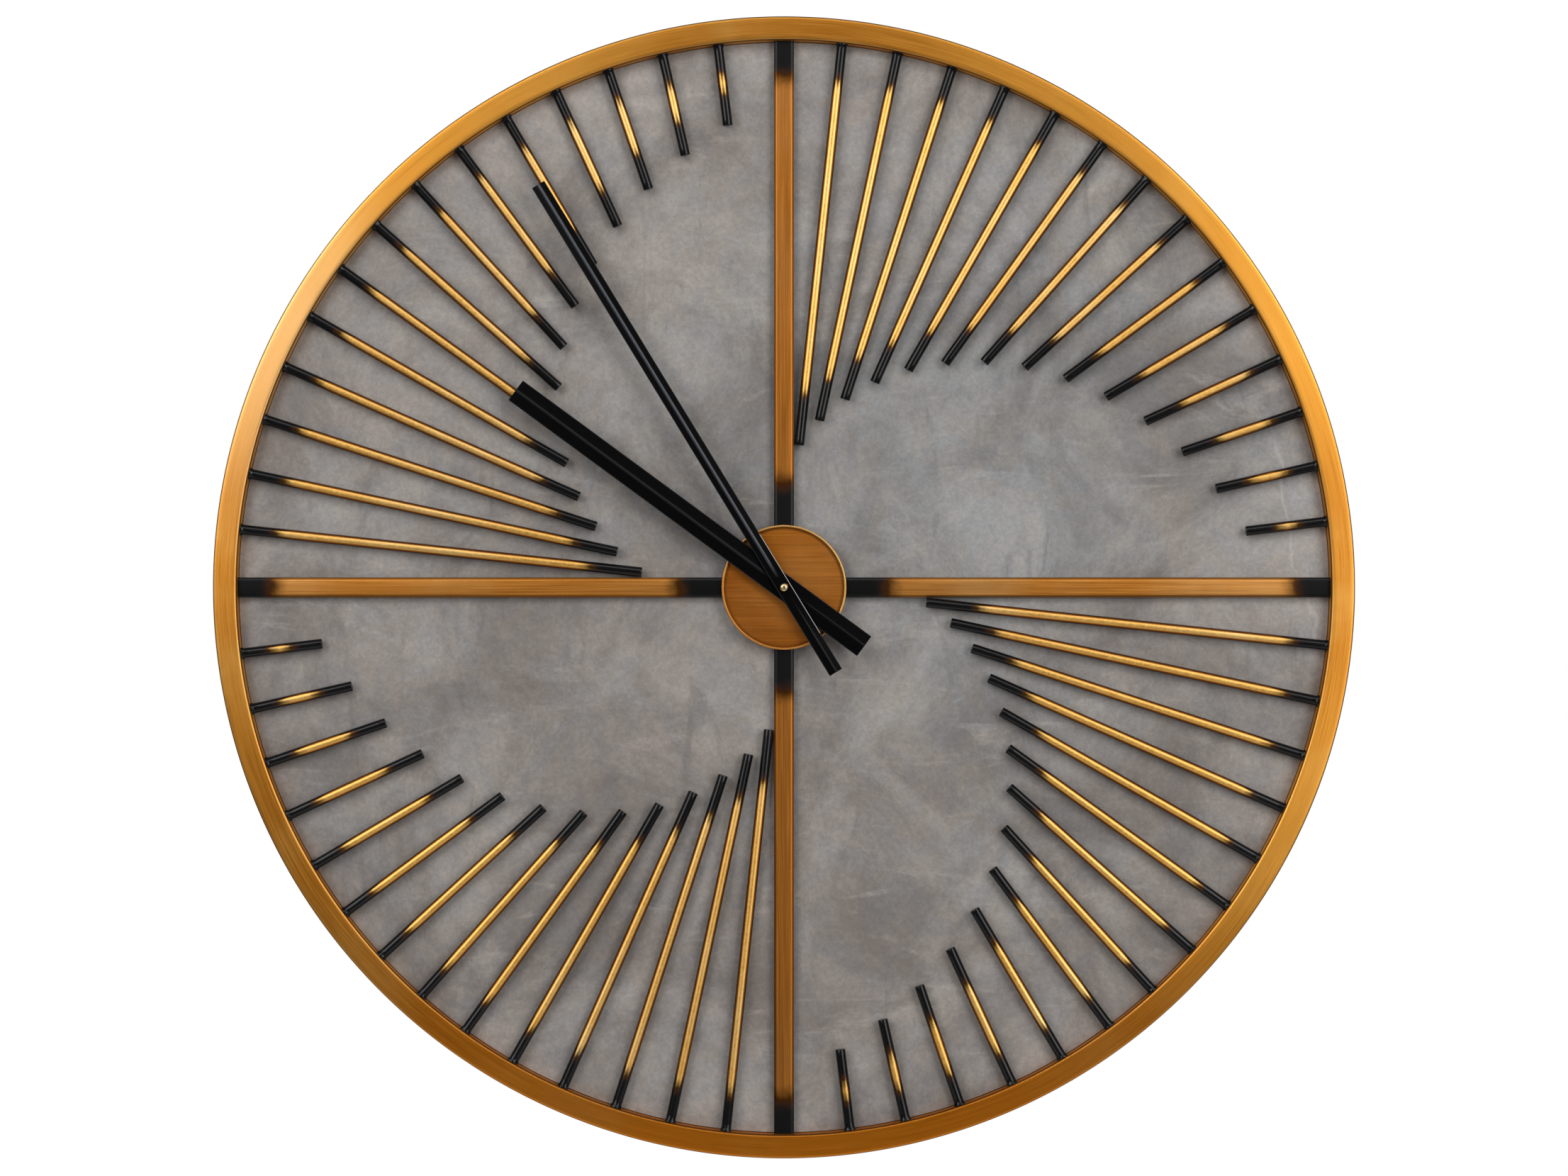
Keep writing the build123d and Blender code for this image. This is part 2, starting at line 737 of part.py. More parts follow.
with BuildPart() as third_wheel:
    add_disc(third, pivot_radius, pivot_rear, train_pivot_front)
    add_disc(third, arbor_radius, third_arbor_rear, third_pinion_heights[0])
    add_gear(third, third_wheel_teeth, third_module, third_wheel_phase, third_wheel_heights)
    add_gear(third, third_pinion_teeth, centre_module, third_pinion_phase, third_pinion_heights)
finish(third_wheel, "third_wheel")

with BuildPart() as centre_wheel:
    add_gear(centre, centre_wheel_teeth, centre_module, centre_wheel_phase, centre_wheel_heights)
    add_disc(centre, minute_arbor_rear_radius, *centre_wheel_heights, mode=Mode.SUBTRACT)
finish(centre_wheel, "centre_wheel")

# ---------------------------------------------------------------- motion work
with BuildPart() as minute_arbor:
    add_disc(centre, minute_arbor_rear_radius, minute_arbor_rear, train_pivot_front)
    add_gear(centre, cannon_pinion_teeth, motion_module, cannon_phase, cannon_pinion_heights)
    add_disc(centre, minute_arbor_radius, train_pivot_front, minute_shoulder)
    add_disc(centre, thread_radius, minute_shoulder, minute_arbor_front)
    add_disc(centre, pivot_hole_radius, minute_arbor_rear, minute_socket_front, mode=Mode.SUBTRACT)
finish(minute_arbor, "minute_arbor")

with BuildPart() as motion_wheel:
    add_gear(motion, motion_wheel_teeth, motion_module, motion_wheel_phase, motion_wheel_heights)
    add_gear(motion, motion_pinion_teeth, hour_module, motion_pinion_phase, motion_pinion_heights)
    add_disc(
        motion,
        arbor_radius + running_clearance,
        motion_wheel_heights[0],
        motion_pinion_heights[1],
        mode=Mode.SUBTRACT,
    )
finish(motion_wheel, "motion_wheel")

with BuildPart() as hour_wheel:
    add_gear(centre, hour_wheel_teeth, hour_module, hour_wheel_phase, hour_wheel_heights)
    add_disc(centre, hour_tube_radius, hour_wheel_heights[0], hour_tube_front)
    add_disc(
        centre,
        minute_arbor_radius + running_clearance,
        hour_wheel_heights[0],
        hour_tube_front,
        mode=Mode.SUBTRACT,
    )
finish(hour_wheel, "hour_wheel")

with BuildPart() as setting_shaft:
    add_gear(setting, setting_pinion_teeth, motion_module, setting_phase, setting_pinion_heights)
    add_disc(setting, arbor_radius, setting_pinion_heights[1], setting_pivot_front)
    add_disc(setting, setting_shaft_radius, setting_shaft_rear, setting_pinion_heights[0])
finish(setting_shaft, "setting_shaft")

# Fluted knob for setting the hands, behind the case
with BuildPart() as setting_knob:
    add_disc(setting, knob_radius, *knob_heights)
    with BuildSketch(dial_plane(knob_heights[0])):
        with Locations(setting):
            with PolarLocations(knob_radius + knob_flute_offset, knob_flutes):
                Circle(knob_flute_radius)
    extrude(amount=knob_heights[1] - knob_heights[0], mode=Mode.SUBTRACT)
    add_disc(setting, setting_shaft_radius, setting_shaft_rear, knob_heights[1], mode=Mode.SUBTRACT)
finish(setting_knob, "setting_knob")

# ---------------------------------------------------------------- stepper motor
with BuildPart() as stator:
    add_box((left_leg[0], right_leg[1]), stator_range, stator_heights)
    for leg in (left_leg, right_leg):
        add_box(leg, (stator_range[1], stator_leg_top), stator_heights)
    add_disc(rotor, stator_hole_radius, *stator_heights, mode=Mode.SUBTRACT)
finish(stator, "stator")

with BuildPart() as coil_core:
    core_range = (coil_level - core_half_width, coil_level + core_half_width)
    foot_range = (coil_level - core_foot_half_width, coil_level + core_foot_half_width)
    add_box((left_leg[0], right_leg[1]), core_range, core_heights)
    for leg in (left_leg, right_leg):
        add_box(leg, foot_range, core_heights)
finish(coil_core, "coil_core")

coil_plane = Plane(origin=(coil_left, -coil_height, coil_level), x_dir=(0, 0, 1), z_dir=(1, 0, 0))

with BuildPart() as coil_bobbin:
    with BuildSketch(coil_plane):
        Circle(bobbin_core_radius)
    extrude(amount=coil_length)
    with BuildSketch(coil_plane, coil_plane.offset(coil_length - bobbin_flange_thickness)):
        Circle(bobbin_flange_radius)
    extrude(amount=bobbin_flange_thickness)
    with BuildSketch(coil_plane):
        Rectangle(2 * core_half_width + bobbin_clearance, core_thickness + bobbin_clearance)
    extrude(amount=coil_length, mode=Mode.SUBTRACT)
finish(coil_bobbin, "coil_bobbin")

with BuildPart() as coil_winding:
    with BuildSketch(coil_plane.offset(bobbin_flange_thickness)):
        Circle(winding_radius)
        Circle(bobbin_core_radius, mode=Mode.SUBTRACT)
    extrude(amount=coil_length - 2 * bobbin_flange_thickness)
finish(coil_winding, "coil_winding")

# ---------------------------------------------------------------- electronics
with BuildPart() as circuit_board:
    add_box(circuit_board_x, circuit_board_z, board_heights)
finish(circuit_board, "circuit_board")

with BuildPart() as quartz_crystal:
    with BuildSketch(Plane.XY.offset(crystal_bottom)):
        with Locations((crystal_x, -(board_heights[0] - crystal_radius))):
            Circle(crystal_radius)
    extrude(amount=crystal_length)
    fillet(quartz_crystal.faces().sort_by(Axis.Z)[-1].edges(), radius=crystal_rounding)
finish(quartz_crystal, "quartz_crystal")

with BuildPart() as driver_chip:
    add_disc(chip_place, chip_radius, board_heights[0] - chip_height, board_heights[0])
    fillet(driver_chip.faces().sort_by(Axis.Y)[-1].edges(), radius=chip_rounding)
finish(driver_chip, "driver_chip")

# ---------------------------------------------------------------- battery and contacts
battery_plane = Plane(
    origin=(battery_left, -battery_height, battery_level), x_dir=(0, 0, 1), z_dir=(1, 0, 0)
)

with BuildPart() as aa_battery:
    with BuildSketch(battery_plane):
        Circle(battery_radius)
    extrude(amount=battery_body_length)
    fillet(aa_battery.edges().filter_by(GeomType.CIRCLE), radius=battery_edge_rounding)
    with BuildSketch(battery_plane.offset(battery_body_length)):
        Circle(battery_nub_radius)
    extrude(amount=battery_nub_length)
finish(aa_battery, "aa_battery")

# Negative contact: a plate on the bay's left wall with a bowed leaf that presses the cell's flat end
with BuildPart() as negative_contact:
    with BuildSketch(Plane.XY.offset(battery_level - contact_half_width)):
        with BuildLine() as leaf:
            Polyline(
                (-contact_wall + leaf_offset, -contact_heights[0]),
                (-contact_wall + leaf_offset, -contact_heights[1]),
                (-contact_wall + leaf_top_offset, -contact_heights[1]),
                (battery_left - leaf_gap_to_cell, -(battery_height + leaf_flat_half_height)),
                (battery_left - leaf_gap_to_cell, -(battery_height - leaf_flat_half_height)),
                (-contact_wall + leaf_foot_offset, -contact_heights[0] - leaf_top_offset),
            )
        trace(line_width=contact_thickness)
    extrude(amount=2 * contact_half_width)
    add_box(
        (-contact_wall, -contact_wall + contact_thickness),
        (battery_level + contact_half_width, negative_tongue_top),
        (board_heights[1], board_heights[1] + negative_tongue_width),
    )
finish(negative_contact, "negative_contact")

# Positive contact: an end plate, and a strip along the bay wall to the circuit board
with BuildPart() as positive_contact:
    plate_left = battery_end + leaf_offset
    plate_right = plate_left + contact_thickness
    strip_top = strip_level + contact_thickness
    add_box(
        (plate_left, plate_right),
        (battery_level - contact_half_width, strip_top),
        contact_heights,
    )
    add_box(
        (strip_left, plate_right),
        (strip_level, strip_top),
        (board_heights[1], board_heights[1] + strip_width),
    )
    add_box(
        (strip_left, strip_foot_right),
        (strip_level, strip_foot_top),
        (board_heights[1], board_heights[1] + contact_thickness),
    )
finish(positive_contact, "positive_contact")

# ---------------------------------------------------------------- hands
def build_hand(name, clock_angle, length, tail, width, crease, rear, hole_radius):
    """A flat strip that is folded up along its middle outside the hub, so its blade has a ridge."""
    front = rear + hand_thickness

    def section(distance, rise):
        """Cross-section of the folded sheet at a distance along the hand."""
        with BuildSketch(arm_plane(clock_angle, distance, front)) as profile:
            with BuildLine():
                Polyline(
                    (-width / 2, 0),
                    (0, rise),
                    (width / 2, 0),
                    (width / 2, -hand_thickness),
                    (0, rise - hand_thickness),
                    (-width / 2, -hand_thickness),
                    close=True,
                )
            make_face()
        return profile.sketch

    with BuildPart() as hand:
        with BuildSketch(arm_plane(clock_angle, crease_start, rear)):
            with Locations((0, hand_thickness / 2)):
                Rectangle(width, hand_thickness)
        extrude(amount=crease_start + tail)
        loft([section(crease_start, first_crease), section(crease_full, crease)], ruled=True)
        extrude(section(crease_full, crease), amount=-(length - crease_full))
        add_disc(centre, hole_radius, rear, front, mode=Mode.SUBTRACT)
    finish(hand, name)


build_hand(
    "hour_hand",
    hour_angle,
    hour_length,
    hour_tail,
    hour_width,
    hour_crease,
    hour_hand_rear,
    hour_collet_neck_radius,
)
build_hand(
    "minute_hand",
    minute_angle,
    minute_length,
    minute_tail,
    minute_width,
    minute_crease,
    minute_hand_rear,
    minute_boss_neck_radius,
)

with BuildPart() as hour_collet:
    add_disc(centre, hour_collet_neck_radius, *hour_collet_heights)
    add_disc(centre, hour_collet_flange_radius, hour_collet_flange_rear, hour_hand_rear)
    add_disc(centre, hour_tube_radius, *hour_collet_heights, mode=Mode.SUBTRACT)
finish(hour_collet, "hour_collet")

with BuildPart() as minute_boss:
    add_disc(centre, minute_boss_neck_radius, minute_boss_rear, minute_shoulder)
    add_disc(centre, minute_boss_flange_radius, minute_boss_flange_rear, minute_hand_rear)
    add_disc(centre, minute_arbor_radius, minute_boss_rear, minute_shoulder, mode=Mode.SUBTRACT)
finish(minute_boss, "minute_boss")

with BuildPart() as cap_nut:
    add_disc(centre, cap_nut_radius, minute_shoulder, cap_nut_front)
    fillet(cap_nut.faces().sort_by(Axis.Y)[0].edges(), radius=cap_nut_dome)
    chamfer(cap_nut.faces().sort_by(Axis.Y)[-1].edges(), length=cap_nut_rear_chamfer)
    add_disc(centre, thread_radius, minute_shoulder, minute_arbor_front, mode=Mode.SUBTRACT)
finish(cap_nut, "cap_nut")
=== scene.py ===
import math

import bmesh
import bpy
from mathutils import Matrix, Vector, noise


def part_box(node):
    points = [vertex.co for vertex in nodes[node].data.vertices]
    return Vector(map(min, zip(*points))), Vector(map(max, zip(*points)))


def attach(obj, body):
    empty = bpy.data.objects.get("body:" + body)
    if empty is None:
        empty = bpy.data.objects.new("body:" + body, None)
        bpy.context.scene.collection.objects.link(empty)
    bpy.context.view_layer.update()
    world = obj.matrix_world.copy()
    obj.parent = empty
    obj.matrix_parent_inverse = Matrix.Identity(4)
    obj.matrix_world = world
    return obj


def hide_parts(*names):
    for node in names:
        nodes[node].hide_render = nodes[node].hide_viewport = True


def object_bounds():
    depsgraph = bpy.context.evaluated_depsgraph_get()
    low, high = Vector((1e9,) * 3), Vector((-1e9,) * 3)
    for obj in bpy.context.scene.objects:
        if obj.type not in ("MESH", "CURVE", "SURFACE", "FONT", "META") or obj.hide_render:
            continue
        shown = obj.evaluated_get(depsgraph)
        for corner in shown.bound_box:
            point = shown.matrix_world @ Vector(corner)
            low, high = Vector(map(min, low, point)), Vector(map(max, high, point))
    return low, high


# Sunburst wall clock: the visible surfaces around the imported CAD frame. Metres; the clock faces -Y, the
# wall is the plane y = 0, and a height is a distance from the wall towards the viewer.

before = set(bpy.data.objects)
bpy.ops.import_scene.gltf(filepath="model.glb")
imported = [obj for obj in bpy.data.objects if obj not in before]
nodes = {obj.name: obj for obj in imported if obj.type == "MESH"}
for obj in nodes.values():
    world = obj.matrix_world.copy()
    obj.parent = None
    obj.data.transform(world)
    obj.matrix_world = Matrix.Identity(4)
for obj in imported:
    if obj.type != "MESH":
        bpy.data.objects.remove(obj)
cad_low, cad_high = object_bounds()

MM = 0.001

# ---------------------------------------------------------------- sizes the pieces share with the CAD
RING_OUTER = cad_high.x
RING_WIDTH = 19.05 * MM
RING_INNER = RING_OUTER - RING_WIDTH
RING_DEPTH = -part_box("ring_frame")[0].y
RING_CORNER = 2.4 * MM
ROD_RADIUS = 3.97 * MM
ROD_REACH = 438.07 * MM
ROD_FIRST_ANGLE = 6.1
ROD_PITCH = 5.92
ROD_COUNT = 14
rod_low, rod_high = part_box("ray_rods_01")
ROD_HEIGHT = -(rod_low.y + rod_high.y) / 2
BAR_WIDTH = 15.9 * MM
BAR_BEVEL = 2.3 * MM
BAR_BEVEL_DEPTH = 1.2 * MM
BAR_FACE_HEIGHT = -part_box("cross_bar_3")[0].y
HUB_LIP_WIDTH = 1.7 * MM
HUB_FACE_HEIGHT = 34.95 * MM
HUB_HOLE = 4.1 * MM
HUB_LIP_MIDDLE = 49.15 * MM
HAND_THICKNESS = 0.8 * MM
HAND_FLAT = 9.0 * MM
HAND_FOLDED = 24.0 * MM


def clock(angle):
    """The direction on the dial at a clock angle, in degrees clockwise from 12."""
    turn = math.radians(angle)
    return Vector((math.sin(turn), 0.0, math.cos(turn)))


def smooth(value, low, high):
    """0 below low and 1 above high, eased between them."""
    t = min(1.0, max(0.0, (value - low) / (high - low)))
    return t * t * (3 - 2 * t)


def display(red, green, blue):
    """A colour given as it looks on a display, 0 to 255, in the linear values that Blender takes."""
    linear = [(v / 255 + 0.055) / 1.055 for v in (red, green, blue)]
    return tuple(v ** 2.4 for v in linear) + (1.0,)


def level(value):
    """A plain number as a colour, for mixing."""
    return (value, value, value, 1.0)


# ---------------------------------------------------------------- materials
class Surface:
    """A procedural material: a Principled shader and the nodes that feed it."""

    def __init__(self, name, **constants):
        self.material = bpy.data.materials.new(name)
        self.material.use_nodes = True
        self.tree = self.material.node_tree
        self.shader = self.tree.nodes["Principled BSDF"]
        self.place = self.new("ShaderNodeTexCoord").outputs["Object"]
        for socket, value in constants.items():
            self.shader.inputs[socket.replace("_", " ")].default_value = value

    def new(self, kind, **settings):
        node = self.tree.nodes.new(kind)
        for key, value in settings.items():
            setattr(node, key, value)
        return node

    def feed(self, socket, value):
        """Links value to a socket if it is an output, and sets it as the socket's own value otherwise."""
        if isinstance(value, bpy.types.NodeSocket):
            self.tree.links.new(value, socket)
        else:
            socket.default_value = value

    def put(self, **sockets):
        """Feeds the shader's sockets, named with _ for a space."""
        for name, value in sockets.items():
            self.feed(self.shader.inputs[name.replace("_", " ")], value)

    def math(self, operation, a, b=0.0):
        node = self.new("ShaderNodeMath", operation=operation)
        self.feed(node.inputs[0], a)
        self.feed(node.inputs[1], b)
        return node.outputs[0]

    def times(self, a, b):
        return self.math("MULTIPLY", a, b)

    def plus(self, a, b):
        return self.math("ADD", a, b)

    def minus(self, a, b):
        return self.math("SUBTRACT", a, b)

    def absolute(self, value):
        return self.math("ABSOLUTE", value)

    def length(self, a, b):
        return self.math("SQRT", self.plus(self.times(a, a), self.times(b, b)))

    def split(self):
        """The object's coordinates x, y and z."""
        node = self.new("ShaderNodeSeparateXYZ")
        self.feed(node.inputs[0], self.place)
        return node.outputs

    def join(self, x, y, z):
        node = self.new("ShaderNodeCombineXYZ")
        for socket, value in zip(node.inputs, (x, y, z)):
            self.feed(socket, value)
        return node.outputs[0]

    def stretched(self, scale, turn=0.0):
        """The object's coordinates, turned about the wall's normal and scaled by axis."""
        node = self.new("ShaderNodeMapping", vector_type="POINT")
        self.feed(node.inputs["Vector"], self.place)
        node.inputs["Rotation"].default_value = (0.0, math.radians(turn), 0.0)
        node.inputs["Scale"].default_value = scale
        return node.outputs[0]

    def noise(self, scale, detail=3.0, roughness=0.5, distortion=0.0, vector=None):
        node = self.new("ShaderNodeTexNoise")
        self.feed(node.inputs["Vector"], vector or self.place)
        node.inputs["Scale"].default_value = scale
        node.inputs["Detail"].default_value = detail
        node.inputs["Roughness"].default_value = roughness
        node.inputs["Distortion"].default_value = distortion
        return node.outputs["Fac"]

    def fit(self, value, low, high, to_low=0.0, to_high=1.0):
        """value eased from the range low..high to to_low..to_high."""
        node = self.new("ShaderNodeMapRange", interpolation_type="SMOOTHSTEP")
        for socket, number in zip(node.inputs, (value, low, high, to_low, to_high)):
            self.feed(socket, number)
        return node.outputs[0]

    def mix(self, factor, a, b, blend="MIX"):
        node = self.new("ShaderNodeMix", data_type="RGBA", blend_type=blend)
        self.feed(node.inputs[0], factor)
        self.feed(node.inputs[6], a)
        self.feed(node.inputs[7], b)
        return node.outputs[2]

    def tinted(self, tone, tint):
        return self.mix(1.0, tone, tint, "MULTIPLY")

    def bump(self, height, distance, under=None):
        """A bump whose height, 0 to 1, stands for distance in metres."""
        node = self.new("ShaderNodeBump")
        node.inputs["Distance"].default_value = distance
        self.feed(node.inputs["Height"], height)
        if under is not None:
            self.feed(node.inputs["Normal"], under)
        return node.outputs[0]

    def attribute(self, name):
        return self.new("ShaderNodeAttribute", attribute_name=name).outputs["Fac"]


PAINT_BLACK = display(7, 7, 8)
# A dark brown: patina in the hub's inner corner, and painted shade on the ring's edges, the bars' bevels, the
# rods' sides and that corner.
PATINA_AND_SHADE = display(84, 50, 20)
SCORCHED = display(150, 84, 28)
# The dark and the light of the brushing, and the tone of the clouds over it.
RING_TONES = (display(196, 122, 34), display(222, 152, 62), display(240, 184, 96))
# The bars' tones are lit and shaded copies of one bronze: paler across, a painted light, and darker upright,
# a painted shade.
ACROSS_LIT_TONES = (display(204, 127, 47), display(224, 151, 68), display(232, 175, 106))
UPRIGHT_SHADED_TONES = (display(172, 104, 36), display(194, 126, 54), display(184, 126, 66))
HUB_TONES = (display(188, 108, 32), display(208, 130, 50), display(226, 154, 80))
# The rods' tones are paler than the other bronze: a painted highlight on the fronts of the round rods.
ROD_LIT_TONES = (display(230, 172, 84), display(242, 196, 112), display(250, 214, 146))
# A painted highlight on the ring's rounded edges.
RING_EDGE_HIGHLIGHT = display(248, 200, 120)
# Painted light on the ring: brighter patches, a paler highlight near 10, and deeper shade at the bottom.
RING_HIGHLIGHT = display(253, 178, 72)
RING_PALE_HIGHLIGHT = display(244, 212, 162)
RING_SHADE = display(186, 104, 12)
# Painted shade on the hub's lower left.
HUB_SHADE = display(150, 80, 18)
LIP_DULL = display(208, 128, 54)
# A painted highlight on the hub's lip.
LIP_HIGHLIGHT = display(255, 212, 128)
# Painted shade on the rods' flanks.
ROD_FLANK_SHADE = display(158, 92, 30)

# How finely the brushing's noise changes: per metre across and along the marks, per radian round the dial,
# and per metre every way where the grain is even. The depth is in metres.
BRUSH_ACROSS = 1300.0
BRUSH_ALONG = 12.0
BRUSH_ROUND = 7.0
BRUSH_EVEN = 500.0
BRUSH_DEPTH = 0.000015


def bronze(name, grain, tones, roughness, anisotropic):
    """Steel under a bronze lacquer, brushed along x, along z or round the dial, or with an even grain."""
    s = Surface(name, Metallic=1.0, Anisotropic=anisotropic)
    s.x, s.y, s.z = s.split()
    s.radius = s.length(s.x, s.z)
    if grain == "round":
        way = s.join(
            s.times(s.math("DIVIDE", s.x, s.radius), BRUSH_ROUND),
            s.times(s.plus(s.radius, s.y), BRUSH_ACROSS),
            s.times(s.math("DIVIDE", s.z, s.radius), BRUSH_ROUND),
        )
        s.put(Tangent=s.new("ShaderNodeTangent", direction_type="RADIAL", axis="Y").outputs[0])
        s.put(Anisotropic_Rotation=0.25)
    elif grain == "x":
        way = s.stretched((BRUSH_ALONG, BRUSH_ACROSS, BRUSH_ACROSS))
        s.put(Tangent=s.join(0.0, 0.0, 1.0))
    elif grain == "z":
        way = s.stretched((BRUSH_ACROSS, BRUSH_ACROSS, BRUSH_ALONG))
        s.put(Tangent=s.join(1.0, 0.0, 0.0))
    else:
        way = s.stretched((BRUSH_EVEN, BRUSH_EVEN, BRUSH_EVEN))
        s.put(Tangent=s.new("ShaderNodeTangent", direction_type="RADIAL", axis="Y").outputs[0])
    s.brushed = s.noise(1.0, 4.0, 0.65, vector=way)
    cloud = s.noise(9.0, 4.0, 0.55)
    tone = s.mix(s.fit(s.brushed, 0.28, 0.74), tones[0], tones[1])
    s.tone = s.mix(s.fit(cloud, 0.44, 0.74, 0.0, 0.6), tone, tones[2])
    s.shine = s.fit(s.brushed, 0.3, 0.7, roughness - 0.04, roughness + 0.05)
    s.put(Normal=s.bump(s.brushed, BRUSH_DEPTH))
    return s


def at_ring_edges(s, outer_far, outer_near, inner_far, inner_near):
    """1 along both edges of the ring's face, fading to 0 between a near and a far distance from each."""
    outer = s.fit(s.radius, RING_OUTER - outer_far, RING_OUTER - outer_near)
    inner = s.fit(s.radius, RING_INNER + inner_far, RING_INNER + inner_near)
    return s.math("MAXIMUM", outer, inner)


def bronze_ring():
    """The ring's tube: its lacquer paler on the rounded front edges, a painted highlight, and a dark line
    along both edges, a painted shade.
    """
    s = bronze("bronze_ring", "round", RING_TONES, 0.42, 0.66)
    # Painted highlight along the rounded front edges, and painted shade in a thin dark line along them.
    lit_edges = at_ring_edges(s, 2.4 * MM, 0.8 * MM, 2.4 * MM, 0.8 * MM)
    shaded_outline = at_ring_edges(s, 1.1 * MM, 0.3 * MM, 1.3 * MM, 0.4 * MM)
    front = s.fit(s.y, -RING_DEPTH + 2.0 * MM, -RING_DEPTH + 0.6 * MM)
    near_front = s.fit(s.y, -RING_DEPTH + 3.4 * MM, -RING_DEPTH + 2.0 * MM)
    tone = s.mix(s.times(s.times(lit_edges, front), 0.35), s.tone, RING_EDGE_HIGHLIGHT)
    # Painted light: brighter away from 12, 3, 6 and 9, except at the lower left; a paler painted highlight
    # near 10; painted shade, deeper, at the bottom.
    off_axes = s.times(s.fit(s.absolute(s.x), 0.06, 0.20), s.fit(s.absolute(s.z), 0.05, 0.20))
    not_lower_left = s.fit(s.plus(s.z, s.times(s.x, 0.3)), -0.30, -0.15, 0.0, 0.6)
    tone = s.mix(s.times(off_axes, not_lower_left), tone, RING_HIGHLIGHT)
    from_pale_highlight = s.plus(s.absolute(s.plus(s.x, 0.40)), s.absolute(s.minus(s.z, 0.20)))
    tone = s.mix(s.fit(from_pale_highlight, 0.24, 0.02, 0.0, 0.36), tone, RING_PALE_HIGHLIGHT)
    tone = s.mix(s.fit(s.z, -0.20, -0.42, 0.0, 0.75), tone, RING_SHADE)
    tone = s.mix(s.times(s.times(shaded_outline, near_front), 0.85), tone, PATINA_AND_SHADE)
    s.put(Base_Color=tone, Roughness=s.shine)
    return s.material


def bronze_hub():
    """The hub disc: a painted highlight on its lip, brightest at the upper right, patina and painted shade in
    the corner inside it, and painted shade towards the lower left.
    """
    s = bronze("bronze_hub", "x", HUB_TONES, 0.45, 0.6)
    on_face = s.fit(s.y, -HUB_FACE_HEIGHT - 0.55 * MM, -HUB_FACE_HEIGHT - 0.15 * MM)
    on_lip = s.fit(s.y, -HUB_FACE_HEIGHT - 0.55 * MM, -HUB_FACE_HEIGHT - 1.05 * MM)
    below_lip = s.fit(s.y, -HUB_FACE_HEIGHT - 0.45 * MM, -HUB_FACE_HEIGHT - 0.1 * MM)
    corner = s.times(s.fit(s.radius, 45.0 * MM, 48.0 * MM), below_lip)
    tone = s.mix(s.times(corner, 0.75), s.tone, PATINA_AND_SHADE)
    to_upper_right = s.plus(s.x, s.z)
    # Painted shade towards the lower left.
    tone = s.mix(s.fit(to_upper_right, 0.03, -0.06, 0.0, 0.4), tone, HUB_SHADE)
    # Painted highlight on the lip's crest, strongest at the upper right.
    crest = s.fit(s.absolute(s.minus(s.radius, HUB_LIP_MIDDLE)), 0.75 * MM, 0.2 * MM)
    highlight = s.times(crest, s.fit(to_upper_right, -0.05, 0.06, 0.35, 1.0))
    tone = s.mix(on_lip, tone, s.mix(highlight, LIP_DULL, LIP_HIGHLIGHT))
    s.put(Base_Color=tone, Roughness=s.mix(on_lip, s.shine, level(0.4)))
    s.put(Normal=s.bump(s.times(s.brushed, on_face), BRUSH_DEPTH))
    return s.material


def bronze_blackened(name, grain, tones, roughness, gloss, glint, fade, axis_height=None):
    """Bronze lacquer with both ends sprayed black over a length of fade.

    A bar has painted shade on its bevels. A round rod, whose axis is at axis_height, has painted shade on its
    flanks and sides, where its black paint also reaches further.
    """
    s = bronze(name, grain, tones, roughness, 0.3)
    nearest = s.math("MINIMUM", s.attribute("from_tip_paint"), s.attribute("from_rim_paint"))
    ragged = s.times(s.minus(s.noise(110.0, 4.0, 0.5), 0.5), 0.35 * fade)
    edge = s.plus(nearest, ragged)
    if axis_height is None:
        tone = s.mix(s.fit(nearest, 0.08, 0.012, 0.0, 0.15), s.tone, tones[2])
        # Painted shade on the bevels.
        bevel = s.fit(s.y, -BAR_FACE_HEIGHT + 0.05 * MM, -BAR_FACE_HEIGHT + 0.35 * MM)
        tone = s.mix(s.times(bevel, 0.8), tone, PATINA_AND_SHADE)
    else:
        # Painted shade: darker from the rod's front towards its flanks and sides, and the black paint reaches
        # further along them.
        flank = s.fit(s.y, -axis_height - 0.95 * ROD_RADIUS, -axis_height - 0.74 * ROD_RADIUS)
        side = s.fit(s.y, -axis_height - 0.72 * ROD_RADIUS, -axis_height - 0.38 * ROD_RADIUS)
        tone = s.mix(side, s.mix(flank, s.tone, ROD_FLANK_SHADE), PATINA_AND_SHADE)
        edge = s.minus(edge, s.plus(s.times(flank, 4 * MM), s.times(side, 7 * MM)))
    shown = s.math("POWER", s.fit(edge, -0.55 * fade, 0.45 * fade), 2.6)
    scorched = s.mix(s.fit(shown, 0.0, 0.5), SCORCHED, tone)
    s.put(Base_Color=s.mix(shown, PAINT_BLACK, scorched), Metallic=s.fit(shown, 0.0, 0.25))
    s.put(Roughness=s.mix(shown, level(gloss), s.shine), Specular_IOR_Level=glint)
    return s.material


# A crease of the dial, painted as a pale line for the light on its ridge: its reach to the right on the
# horizontal axis, and its lower and upper end.
DIAL_CREASES = ((0.413, -0.01, 0.13), (0.421, -0.06, 0.03))


